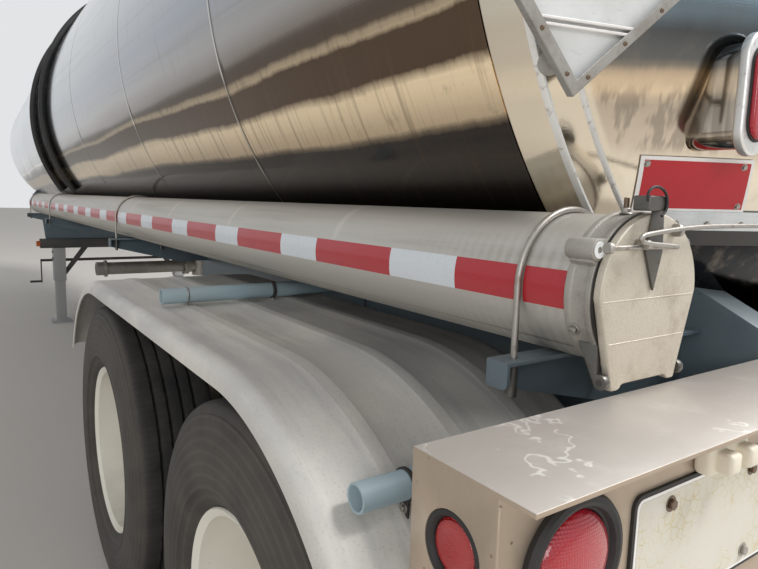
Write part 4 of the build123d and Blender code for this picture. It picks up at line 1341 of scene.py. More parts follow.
@dataclass
class TankShell:
    """The polished barrel with its welds, the narrowing front section and the two dished heads."""

    radius: float = 1.0
    axis_z: float = 2.07
    rear_weld: float = -5.001
    taper_x: float = 0.3
    front_weld: float = 5.1
    front_radius: float = 0.873
    front_axis_z: float = 2.129
    head_rise: float = 0.385
    front_rise: float = 0.3
    skirt: float = 0.065
    skirt_step: float = 0.026
    welds: tuple[float, ...] = (-4.004, -2.921, -1.641, 0.3, 1.95, 3.55)
    bead_half: float = 0.004
    bead_rise: float = 0.0006
    steps: int = 288
    crown_steps: int = 48
    knuckle: float = 0.017
    manway_x: float = -0.109
    throat_radius: float = 0.255
    throat: Flat = (2.6, 3.3)
    head_rings: tuple[float, ...] = (0.9745, 0.935)

    def section_at(self, x: float) -> Flat:
        """The shell's radius and axis height at a place along it.

        Args:
            x: the place.

        Returns:
            The radius and the height.
        """
        share = max(0.0, (x - self.taper_x) / (self.front_weld - self.taper_x))
        radius = self.radius + share * (self.front_radius - self.radius)
        return radius, self.axis_z + share * (self.front_axis_z - self.axis_z)

    def _ring(self, shape: Shape, x: float, rise: float) -> list[bmesh.types.BMEdge]:
        """One circle of the shell, as its edges.

        Args:
            shape: what it is added to.
            x: its place.
            rise: how far it stands off the shell.

        Returns:
            Its edges.
        """
        radius, axis_z = self.section_at(x)
        place = at(x, 0, axis_z) @ Matrix.Rotation(math.pi / 2, 4, "Y")
        made = bmesh.ops.create_circle(shape, segments=self.steps, radius=radius + rise, matrix=place)
        return list({edge for vert in made["verts"] for edge in vert.link_edges})

    def jacket(self) -> Shape:
        """The closed barrel and front section, with a bead at each weld and the manway's throat.

        Returns:
            The shape in its place.
        """
        shape = bmesh.new()
        stations = [(self.rear_weld, 0.0), (self.rear_weld + 0.02, 0.0)]
        for weld in self.welds:
            half = self.bead_half
            stations += [
                (weld - 5 * half, 0.0), (weld - 2 * half, 0.0), (weld - half, self.bead_rise),
                (weld + half, self.bead_rise), (weld + 2 * half, 0.0), (weld + 5 * half, 0.0),
            ]
        stations += [(self.front_weld - 0.02, 0.0), (self.front_weld, 0.0)]
        rings = [self._ring(shape, x, rise) for x, rise in stations]
        for first, second in zip(rings, rings[1:]):
            bmesh.ops.bridge_loops(shape, edges=first + second)
        for end in (rings[0], rings[-1]):
            bmesh.ops.contextual_create(shape, geom=end)
        outwards(shape)
        throat = pin(self.throat_radius, *self.throat)
        throat.transform(at(self.manway_x, 0))
        return carved(shape, [throat])

    def head(self, radius: float, rise: float) -> Shape:
        """A dished head on local Z: its skirt, a rounded knuckle and a crown.

        Args:
            radius: its widest radius.
            rise: how far it bulges.

        Returns:
            The closed head.
        """
        edge = radius - self.skirt_step
        crown = (edge**2 + (rise - self.skirt) ** 2) / (2 * (rise - self.skirt))
        middle = rise - crown
        profile = [(0.0, 0.0), (radius, 0.0), (radius, 0.004), (edge, self.skirt)]
        widest = math.asin(edge / crown)
        for step in range(1, self.crown_steps + 1):
            turn = widest * (1 - step / self.crown_steps)
            profile.append((crown * math.sin(turn), middle + crown * math.cos(turn)))
        return soften(lathe(profile, self.steps), self.knuckle, 6)

    def head_ring(self, reach: float) -> Shape:
        """A thin weld bead round the rear head, at a distance from its middle.

        Args:
            reach: the distance.

        Returns:
            The closed ring.
        """
        edge, rise = self.radius - self.skirt_step, self.head_rise - self.skirt
        crown = (edge**2 + rise**2) / (2 * rise)
        slope = reach / crown
        profile = []
        bead = ((-0.005, -0.003), (-0.0035, 0.0008), (0.0, 0.0024), (0.0035, 0.0008), (0.005, -0.003))
        for offset, lift in bead:
            height = self.head_rise - crown + math.sqrt(crown**2 - reach**2) - slope * offset + lift
            profile.append((reach + offset, height))
        return lathe(profile, self.steps, closed=True)

    def build(self) -> None:
        """Makes the shell and its heads."""
        shell = Work("tank_shell").take(self.jacket(), TANK_STEEL)
        shell.finish("tank_barrel", "tank_front_section")
        rear = self.head(self.radius, self.head_rise)
        place = facing((self.rear_weld, 0, self.axis_z), BEHIND)
        work = Work("rear_head").take(rear, HEAD_STEEL, place)
        for reach in self.head_rings:
            work.take(self.head_ring(reach), BRIGHT_TRIM, place)
        work.finish("tank_rear_head")
        front = self.head(self.front_radius, self.front_rise)
        place = facing((self.front_weld, 0, self.front_axis_z), AHEAD)
        Work("front_head").take(front, TANK_STEEL, place).finish("tank_front_head")


@dataclass
class HoseTubes:
    """The long hose tube on each side with its marking tape."""

    radius: float = 0.1016
    wall: float = 0.003
    side: float = 0.836
    height: float = 1.329
    rear: float = -5.2196
    front: float = 1.869
    tape_middle_z: float = 1.333
    tape_half: float = 0.0254
    rear_tape: tuple[Flat, ...] = ((-5.1885, -5.1158), (-5.1063, -4.973))
    white_from: float = -4.973
    white_run: float = 0.178
    red_run: float = 0.279

    def tube(self) -> Shape:
        """One tube on local Z from its rear end, open there and closed in front.

        Returns:
            The tube.
        """
        run, outer, inner = self.front - self.rear, self.radius, self.radius - self.wall
        profile = [
            (inner, 0), (outer, 0), (outer, 0.02), (outer, run - 0.02), (outer, run - 0.003),
            (outer - 0.003, run), (0, run), (0, run - 0.006), (inner, run - 0.006), (inner, run - 0.03),
        ]
        return lathe(profile, 128, closed=True)

    def tape(self, start: float, end: float) -> Shape:
        """One length of tape on the tube's outer face, between two places along it.

        Args:
            start: its rear end.
            end: its front end.

        Returns:
            The thin bent strip.
        """
        shape = bmesh.new()
        radius = self.radius + 0.0004
        lift = math.degrees(math.asin((self.tape_middle_z - self.height) / radius))
        half = math.degrees(self.tape_half / radius)
        points = arc((0, 0), radius, lift - half, lift + half, 10)
        row = [shape.verts.new((start, self.side + y, self.height + z)) for y, z in points]
        edges = [shape.edges.new(pair) for pair in zip(row, row[1:])]
        made = bmesh.ops.extrude_edge_only(shape, edges=edges)["geom"]
        bmesh.ops.translate(shape, verts=verts_of(made), vec=(end - start, 0, 0))
        outwards(shape)
        if shape.faces[0].normal.y < 0:
            bmesh.ops.reverse_faces(shape, faces=shape.faces)
        return shape

    def build(self) -> None:
        """Makes both tubes and their tape."""
        for name, mirror in SIDES:
            place = facing((self.rear, mirror * self.side, self.height), AHEAD)
            tube = Work(f"hose_tube_body_{name}").take(self.tube(), TUBE, place)
            tube.finish(f"hose_tube_{name}")
        tape = Work("marking_tape")
        for start, end in self.rear_tape:
            tape.take(self.tape(start, end), RED_TAPE, None, True)
        start = self.white_from
        while start < self.front - 0.05:
            middle = min(start + self.white_run, self.front - 0.02)
            tape.take(self.tape(start, middle), WHITE_TAPE, None, True)
            end = min(middle + self.red_run, self.front - 0.02)
            if end > middle:
                tape.take(self.tape(middle, end), RED_TAPE, None, True)
            start = middle + self.red_run
        tape.finish()


@dataclass
class Fenders:
    """The long ribbed arch over both axles on each side, with rolled edges and three raised bands."""

    front_axle: float = -3.381
    rear_axle: float = -4.625
    axle_z: float = 0.52
    radius: float = 0.615
    edge: float = 1.204
    width: float = 0.62
    lip: float = 0.044
    roll: float = 0.034
    sheet: float = 0.004
    front_low: float = 0.81
    rear_low: float = 0.7
    bands: tuple[float, ...] = (0.15, 0.31, 0.47)
    band_half: float = 0.015
    band_rise: float = 0.0032
    band_edge: float = 0.006

    def section(self) -> list[Flat]:
        """The sheet's section: distance in from the outer edge, and height over the arch's radius.

        Returns:
            Its points in order.
        """
        roll = self.roll
        outer = [(0.0, -self.lip)] + arc((roll, -roll), roll, 180, 90, 6)
        top = []
        for band in self.bands:
            half, rise = self.band_half, self.band_rise
            top += [
                (band - half - self.band_edge, 0.0), (band - half, rise * 0.92),
                (band - half + 0.003, rise), (band + half - 0.003, rise), (band + half, rise * 0.92),
                (band + half + self.band_edge, 0.0),
            ]
        inner = arc((self.width - roll, -roll), roll, 90, 0, 6) + [(self.width, -self.lip)]
        return outer + top + inner

    def sheet_shape(self) -> Shape:
        """The left fender: its section spun over the front axle, run back and spun over the rear axle.

        Returns:
            The thick sheet.
        """
        shape = bmesh.new()
        start = math.asin((self.front_low - self.axle_z) / self.radius)
        end = math.asin((self.rear_low - self.axle_z) / self.radius)
        row = []
        for inward, rise in self.section():
            reach = self.radius + rise
            x = self.front_axle + reach * math.cos(start)
            z = self.axle_z + reach * math.sin(start)
            row.append(shape.verts.new((x, self.edge - inward, z)))
        edges = [shape.edges.new(pair) for pair in zip(row, row[1:])]
        centre = Vector((self.front_axle, 0, self.axle_z))
        turn = math.pi / 2 - start
        last = self._spun(shape, row + edges, centre, turn, 34)
        made = bmesh.ops.extrude_edge_only(shape, edges=edges_of(last))["geom"]
        bmesh.ops.translate(shape, verts=verts_of(made), vec=(self.rear_axle - self.front_axle, 0, 0))
        ends = verts_of(made) + edges_of(made)
        self._spun(shape, ends, Vector((self.rear_axle, 0, self.axle_z)), math.pi / 2 - end, 40)
        bmesh.ops.remove_doubles(shape, verts=shape.verts, dist=1e-5)
        outwards(shape)
        highest = max(shape.faces, key=lambda face: face.calc_center_median().z)
        if highest.normal.z < 0:
            bmesh.ops.reverse_faces(shape, faces=shape.faces)
        bmesh.ops.solidify(shape, geom=shape.faces[:], thickness=self.sheet)
        return shape

    @staticmethod
    def _spun(shape: Shape, geom: list, centre: Vector, turn: float, steps: int) -> list:
        """Spins an open row backwards over an axle and gives the last row.

        Args:
            shape: what it belongs to.
            geom: the row.
            centre: the axle.
            turn: the angle.
            steps: how many stretches it has.

        Returns:
            The last row.
        """
        made = bmesh.ops.spin(shape, geom=geom, cent=centre, axis=RIGHTWARDS, angle=turn, steps=steps)
        return made["geom_last"]

    def build(self) -> None:
        """Makes both fenders."""
        for name, mirror in SIDES:
            shape = self.sheet_shape() if mirror > 0 else mirrored(self.sheet_shape())
            Work(f"fender_sheet_{name}").take(shape, FENDER_SHEET).finish(f"fender_{name}")


@dataclass
class TubeEnds:
    """The cast ring, hinged cap, latch rod and toggle at the rear end of each hose tube."""

    side: float = 0.836
    height: float = 1.329
    rear: float = -5.2316
    bore: float = 0.0986
    seat: float = 0.1019
    ring: float = 0.107
    length: float = 0.042
    cap: float = 0.105
    cap_rear: float = -5.244
    cap_front: float = -5.232
    foot: Flat = (0.070, -0.121)
    hinge: Flat = (-5.238, 1.221)
    ear_inner: float = 0.078
    ear_outer: float = 0.088
    rod: float = 0.0032
    boss: Flat = (0.934, 1.388)

    def ring_shape(self) -> Shape:
        """The collar on local Z from its rear face, with a groove for the gasket and a bead at each edge.

        Returns:
            The collar.
        """
        profile = [
            (self.bore, 0), (0.1036, 0), (0.1036, 0.0024), (self.ring, 0.0026), (self.ring, 0.009),
            (self.ring - 0.0016, 0.0115), (self.ring - 0.0016, 0.031), (self.ring, 0.0335),
            (self.ring, self.length - 0.001), (self.ring - 0.001, self.length), (self.seat, self.length),
        ]
        return soften(lathe(profile + [(self.seat, 0.012), (self.bore, 0.012)], 112, closed=True), 0.0005, 1)

    def ear(self) -> Shape:
        """One hinge ear, drawn along the trailer: a foot on the ring and a round lug about the pin.

        Returns:
            The ear.
        """
        outline = [(-5.2316, 1.269), (-5.2316, 1.232)] + arc(self.hinge, 0.010, 112, 330, 14)
        return soften(sheet_cut(outline + [(-5.2016, 1.269)], 0.010), 0.0018, 2)

    def cap_outline(self) -> list[Flat]:
        """The cap's outline across the trailer: round above, narrowing to a foot with a long notch.

        Returns:
            Its points in order.
        """
        width, foot = self.foot
        notch = [
            (-width, foot), (-0.057, foot), (-0.053, foot + 0.0012), (-0.050, foot + 0.0052),
            (-0.046, foot + 0.007), (0.046, foot + 0.007), (0.050, foot + 0.0052), (0.053, foot + 0.0012),
        ]
        return arc((0, 0), self.cap, 0, 180, 56) + notch + [(0.057, foot), (width, foot)]

    def staple(self, y: float, low: float, high: float, depth: float) -> Shape:
        """One rounded lug on the cap that the rod passes through.

        Args:
            y: its middle across the trailer.
            low: its foot.
            high: its top.
            depth: how far it stands off the cap.

        Returns:
            The lug in its place.
        """
        half = (high - low) / 2
        outline = [(self.cap_rear + 0.002, low), (self.cap_rear + 0.002, high)]
        outline += arc((self.cap_rear - depth + half, low + half), half, 90, 270, 8)
        shape = soften(sheet_cut(outline, 0.008), 0.0016, 2)
        shape.transform(along(y + 0.004))
        return shape

    def build(self) -> None:
        """Makes the rings, the caps and what is fixed to them."""
        self.rings()
        for name, mirror in SIDES:
            self.cap_piece(name, mirror)
            self.toggle_piece(name, mirror)

    def rings(self) -> None:
        """Both rings with their gaskets, bosses, eyelets, ears, studs and bolts."""
        work = Work("tube_end_rings")
        place = facing((self.rear, self.side, self.height), AHEAD)
        work.take(self.ring_shape(), CAST_RING, place, True)
        work.take(collar(self.bore, 0.1046, -0.0003, 0.0022, 96), RUBBER, place, True)
        boss = pin(0.014, 0, self.length, 32, 0.0015, 2)
        work.take(boss, CAST_RING, facing((self.rear, *self.boss), AHEAD), True)
        washer = collar(0.0042, 0.0105, 0, 0.0016, 28, 0.0004, 1)
        work.take(washer, WHITE_PANEL, facing((self.rear, *self.boss), BEHIND), True)
        web = sheet_cut([(0.070, 0.072), (0.090, 0.073), (0.106, 0.044), (0.094, 0.036)], self.length - 0.006)
        centre = at(self.side, self.height)
        work.take(soften(web, 0.0015, 2), CAST_RING, across(self.rear + 0.003) @ centre, True)
        eyelet = collar(0.004, 0.011, 0, 0.016, 28, 0.0012, 2)
        work.take(eyelet, ZINC, facing((self.rear, 0.741, 1.390), AHEAD), True)
        for offset in (self.ear_outer, -self.ear_inner):
            work.take(self.ear(), WORN_STEEL, along(self.side + offset), True)
        pin_end = pin(0.0045, 0, 0.0006, 20, 0.0002, 1)
        point = (self.hinge[0], self.side + self.ear_outer, self.hinge[1])
        work.take(pin_end, DARK, facing(point, LEFTWARDS), True)
        for turn in (-25, -155):
            direction = (0, math.cos(math.radians(turn)), math.sin(math.radians(turn)))
            reach = self.ring - 0.0012
            point = (self.rear + 0.030, self.side + reach * direction[1], self.height + reach * direction[2])
            work.take(hex_bolt(0.0055, 0.0065, 1.55), ZINC, facing(point, direction), True)
        stud = pin(0.0036, 0, 0.021, 16, 0.0005, 1)
        place = facing((-5.212, 0.857, 1.4325), UPWARDS)
        work.take(stud, RUSTY, place, True)
        work.take(hex_bolt(0.0066, 0.0075, 1.3), ZINC, place, True)
        work.finish("tube_rings")

    def cap_piece(self, name: str, mirror: int) -> None:
        """One cap with its casting lines, two lugs and the bent latch rod.

        Args:
            name: the side's name.
            mirror: 1 on the left and -1 on the right.
        """
        work = Work(f"tube_end_cap_{name}")
        centre = at(mirror * self.side, self.height)
        cap = soften(sheet_cut(self.cap_outline(), self.cap_front - self.cap_rear), 0.0024, 3)
        work.take(cap, CAST, across(self.cap_rear) @ centre)
        for height, half in ((-0.0045, 0.101), (-0.059, 0.083)):
            low = (self.cap_rear - 0.0004, -half, height - 0.0009)
            high = (self.cap_rear + 0.001, half, height + 0.0009)
            work.take(soften(block(low, high), 0.0003, 1), CAST, at(0, mirror * self.side, self.height))
        for y, low, high, depth in ((0.876, 1.389, 1.402, 0.020), (0.796, 1.404, 1.421, 0.014)):
            work.take(self.staple(mirror * y, low, high, depth), ZINC)
        route = [
            (-5.252, 0.942, 1.392), (-5.252, 0.890, 1.392), (-5.252, 0.822, 1.3915),
            (-5.2555, 0.811, 1.3915), (-5.261, 0.811, 1.392), (-5.261, 0.830, 1.3935),
            (-5.261, 0.880, 1.397), (-5.261, 0.894, 1.400), (-5.261, 0.894, 1.406),
            (-5.2605, 0.880, 1.4088), (-5.257, 0.820, 1.4135), (-5.256, 0.790, 1.4155),
            (-5.256, 0.732, 1.418), (-5.256, 0.640, 1.4185), (-5.256, 0.480, 1.419),
        ]
        work.take(bent_rod([(x, mirror * y, z) for x, y, z in route], self.rod), ZINC)
        knob = pin(0.007, -0.004, 0.004, 20, 0.001, 1)
        work.take(knob, ZINC, facing((-5.252, mirror * 0.944, 1.392), LEFTWARDS))
        work.finish(f"tube_cap_{name}", body=f"tube_cap_{name}")

    def toggle_piece(self, name: str, mirror: int) -> None:
        """One worn spring blade with its block and the wire loop on top.

        Args:
            name: the side's name.
            mirror: 1 on the left and -1 on the right.
        """
        work = Work(f"latch_toggle_{name}")
        blade = [
            (0.852, 1.452), (0.829, 1.452), (0.824, 1.385), (0.838, 1.334), (0.861, 1.385), (0.852, 1.430),
        ]
        plate = sheet_cut([(mirror * y, z) for y, z in blade], 0.004)
        work.take(soften(plate, 0.0012, 2), WORN_STEEL, across(-5.248))
        low, high = sorted((mirror * 0.836, mirror * 0.874))
        work.take(soften(block((-5.256, low, 1.437), (-5.232, high, 1.456)), 0.0022, 3), WORN_STEEL)
        loop = [
            (0.881, 1.449), (0.885, 1.457), (0.874, 1.4665), (0.860, 1.467), (0.846, 1.462), (0.839, 1.451),
        ]
        wire = [(-5.2575, mirror * y, z) for y, z in loop + [(0.840, 1.437), (0.850, 1.431)]]
        work.take(bent_rod(wire, 0.0018), RUBBER)
        rivet = soften(lathe([(0, 0), (0.0042, 0), (0.003, 0.002), (0, 0.0024)], 16), 0.0003, 1)
        work.take(rivet, ZINC, facing((-5.248, mirror * 0.840, 1.392), BEHIND))
        work.finish(f"cap_toggle_{name}", body=f"tube_cap_{name}")


@dataclass
class Straps:
    """The rod hoops that hold each hose tube down on its arms, with sleeves and nuts at their feet."""

    side: float = 0.836
    height: float = 1.329
    reach: float = 0.10665
    rod: float = 0.00475
    places: tuple[float, ...] = (-5.111, -2.491, 0.108, 1.700)
    foot: float = 1.1705
    sleeve: Flat = (1.1705, 1.2205)
    nut_top: float = 1.221

    def hoop(self, x: float) -> Shape:
        """One hoop: a circle spun half round the tube, with both ends run down.

        Args:
            x: its place along the trailer.

        Returns:
            The closed rod.
        """
        shape = bmesh.new()
        place = at(x, self.side + self.reach, self.height)
        ring = bmesh.ops.create_circle(shape, segments=14, radius=self.rod, matrix=place)["verts"]
        edges = list({edge for vert in ring for edge in vert.link_edges})
        centre = (x, self.side, self.height)
        made = bmesh.ops.spin(shape, geom=ring + edges, cent=centre, axis=AHEAD, angle=math.pi, steps=30)
        for end in (edges, edges_of(made["geom_last"])):
            made = bmesh.ops.extrude_edge_only(shape, edges=end)["geom"]
            far = verts_of(made)
            bmesh.ops.translate(shape, verts=far, vec=(0, 0, self.foot - self.height))
            rim = [edge for edge in edges_of(made) if all(vert in far for vert in edge.verts)]
            bmesh.ops.contextual_create(shape, geom=rim)
        return outwards(shape)

    def build(self) -> None:
        """Makes every hoop on both sides."""
        work = Work("tube_strap_hoops")
        for x in self.places:
            work.take(self.hoop(x), ZINC, None, True)
            for y in (self.side - self.reach, self.side + self.reach):
                work.take(collar(self.rod, 0.0064, *self.sleeve, 24, 0.0005), WORN_STEEL, at(x, y), True)
                nut = hex_bolt(0.0092, 0.006, 1.2)
                work.take(nut, WORN_STEEL, facing((x, y, self.nut_top), DOWNWARDS, 12), True)
        work.finish("tube_straps")


@dataclass
class Tyres:
    """A pair of ribbed road tyres on each wheel end."""

    radius: float = 0.52
    bead: float = 0.28575
    centres: Flat = (1.049, 0.706)
    tread_half: float = 0.1
    grooves: tuple[float, ...] = (0.021, 0.060)
    groove_half: float = 0.0052
    groove_depth: float = 0.013
    steps: int = 168
    notch: float = 0.0032

    def half_profile(self) -> list[Flat]:
        """Half of the section from the tread's middle out to the bead: radius and offset.

        Returns:
            The points.
        """
        points = [(self.radius, 0.0)]
        for groove in self.grooves:
            half, deep = self.groove_half, self.radius - self.groove_depth
            points += [
                (self.radius, groove - half - 0.006), (self.radius, groove - half),
                (deep, groove - half * 0.6), (deep, groove + half * 0.6), (self.radius, groove + half),
                (self.radius, groove + half + 0.006),
            ]
        points += [
            (self.radius, 0.094), (0.5185, 0.104), (0.513, 0.114), (0.505, 0.1185), (0.4945, 0.1215),
            (0.4925, 0.1245), (0.482, 0.1275), (0.46, 0.1325), (0.438, 0.1362), (0.42, 0.1382),
            (0.396, 0.1392), (0.372, 0.138), (0.352, 0.1350), (0.349, 0.1368), (0.341, 0.1358),
            (0.338, 0.1318), (0.322, 0.1252), (0.308, 0.1165), (0.301, 0.1075), (0.294, 0.1045),
            (self.bead, 0.1035),
        ]
        return points

    def tyre(self) -> Shape:
        """One tyre about local Z, with notched rib edges and a map that goes round it.

        Returns:
            The tyre.
        """
        half = self.half_profile()
        profile = [(r, -y) for r, y in reversed(half[1:])] + half
        shape = lathe(profile, self.steps, closed=True)
        self._notch(shape)
        layer = shape.loops.layers.uv.new("round")
        for part in shape.faces:
            middle = part.calc_center_median()
            base = math.atan2(middle.y, middle.x)
            for loop in part.loops:
                place = loop.vert.co
                turn = base + math.remainder(math.atan2(place.y, place.x) - base, FULL_TURN)
                out = max(0.0, self.radius - place.xy.length) / (self.radius - self.bead)
                share = 1.0 if abs(place.z) > self.tread_half else 0.1
                loop[layer].uv = (turn / FULL_TURN + 0.5, out * share)
        return shape

    def _notch(self, shape: Shape) -> None:
        """Cuts short notches into the ribs' edges, at every third step.

        Args:
            shape: the tyre, which is changed.
        """
        ways = (self.groove_half, -self.groove_half)
        edges = [side * (groove + way) for groove in self.grooves for side in (1, -1) for way in ways]
        pitch = FULL_TURN / self.steps
        for vert in shape.verts:
            if abs(vert.co.xy.length - self.radius) > 1e-5:
                continue
            step = round(math.atan2(vert.co.y, vert.co.x) / pitch)
            if step % 3 == 0 and min(abs(vert.co.z - edge) for edge in edges) < 1e-4:
                vert.co.xy *= 1 - self.notch / self.radius

    def build(self) -> None:
        """Makes the pair of each wheel end."""
        for end in WHEEL_ENDS:
            work = Work(f"road_tyres_{end.name}")
            for centre in self.centres:
                place = facing((end.x, end.side * centre, self.radius), (0, end.side, 0))
                work.take(self.tyre(), TYRE, place)
            work.finish(f"tyres_{end.name}", body=f"wheels_{end.name}")


@dataclass
class Wheels:
    """Steel disc wheels back to back, with their nuts, the hub with its sight cap, and the drum."""

    height: float = 0.52
    mating: float = 0.8775
    disc: float = 0.012
    gap: float = 0.1715
    rim: float = 0.28545
    rim_half: float = 0.105
    flange: float = 0.298
    bolt_circle: float = 0.1429
    nuts: int = 10
    holes: int = 5
    hole_circle: float = 0.218
    hole_radius: float = 0.027
    steps: int = 120

    def disc_shape(self) -> Shape:
        """One wheel about local Z, from the mating plane outward.

        Returns:
            The wheel with its hand holes.
        """
        gap, well, flange, disc = self.gap, self.rim - 0.008, self.flange, self.disc
        near, far = gap - self.rim_half, gap + self.rim_half
        profile = [
            (0.109, 0), (0.19, 0), (0.262, gap - 0.095), (well, gap - 0.095), (well, near),
            (flange, near - 0.009), (flange + 0.001, near - 0.004), (flange, near),
            (self.rim, near), (self.rim, far), (flange, far),
            (flange + 0.001, far + 0.005), (flange - 0.002, far + 0.009), (flange - 0.007, far + 0.007),
            (well + 0.001, far - 0.002), (well - 0.001, gap + 0.06), (well - 0.006, gap + 0.035),
            (well - 0.006, gap - 0.04), (well, gap - 0.07), (0.266, gap - 0.07), (0.258, gap - 0.074),
            (0.186, disc + 0.008), (0.176, disc), (0.109, disc),
        ]
        shape = lathe(profile, self.steps, closed=True)
        cutters = []
        for step in range(self.holes):
            cutter = pin(self.hole_radius, 0, 0.1, 32)
            cutter.transform(turned(360 * step / self.holes) @ at(self.hole_circle, 0, -0.01))
            cutters.append(cutter)
        return carved(shape, cutters)

    def hub(self) -> Shape:
        """Hub and drum about local Z, measured from the trailer's middle.

        Returns:
            The turned shape.
        """
        profile = [
            (0.042, 0.612), (0.213, 0.612), (0.213, 0.625), (0.208, 0.632), (0.208, 0.76), (0.213, 0.767),
            (0.213, 0.78), (0.2, 0.845), (0.168, 0.852), (0.168, self.mating - 0.012),
            (0.109, self.mating - 0.012), (0.109, 0.948), (0.104, 0.952), (0.09, 0.954), (0.084, 0.96),
            (0.084, 0.968), (0.078, 0.972), (0.074, 1.0), (0.069, 1.006), (0.04, 1.0062), (0.036, 1.003),
            (0, 1.003), (0, 0.991), (0.042, 0.991),
        ]
        return lathe(profile, 88)

    def nut(self) -> Shape:
        """A flanged wheel nut with the stud's end.

        Returns:
            The nut, standing on local XY.
        """
        shape = lathe([(0, 0), (0.023, 0), (0.023, 0.004), (0.018, 0.006), (0, 0.006)], 20)
        cones = ((6, 0.019, 0.018, 0.022, 0.017), (14, 0.011, 0.010, 0.012, 0.031))
        for count, low, high, depth, middle in cones:
            place = at(0, 0, middle)
            bmesh.ops.create_cone(
                shape, cap_ends=True, segments=count, radius1=low, radius2=high, depth=depth, matrix=place
            )
        return soften(shape, 0.0012, 1)

    def build(self) -> None:
        """Makes each wheel end's wheels, hub and drum."""
        for end in WHEEL_ENDS:
            work = Work(f"disc_wheels_{end.name}")
            outward = facing((end.x, end.side * self.mating, self.height), (0, end.side, 0))
            inward = facing((end.x, end.side * self.mating, self.height), (0, -end.side, 0))
            middle = facing((end.x, 0, self.height), (0, end.side, 0))
            work.take(self.disc_shape(), ENAMEL, outward)
            work.take(self.disc_shape(), ENAMEL, inward)
            work.take(self.hub(), DARK, middle)
            for step in range(self.nuts):
                place = outward @ turned(360 * step / self.nuts) @ at(self.bolt_circle, 0, self.disc)
                work.take(self.nut(), RUSTY, place)
            for angle in range(30, 360, 60):
                work.take(hex_bolt(0.008, 0.006), ZINC, middle @ turned(angle) @ at(0.0955, 0, 0.953))
            sight = lathe([(0, 1.0032), (0.034, 1.0032), (0.034, 1.0048), (0.0, 1.0052)], 32)
            work.take(sight, PLAIN_ALUMINIUM, middle)
            stem = bent_rod([(0.25, 0, 0.1), (0.248, 0, 0.135), (0.244, 0, 0.19), (0.24, 0, 0.215)], 0.0042)
            work.take(stem, ZINC, outward @ turned(36))
            work.finish(f"wheels_{end.name}", body=f"wheels_{end.name}")


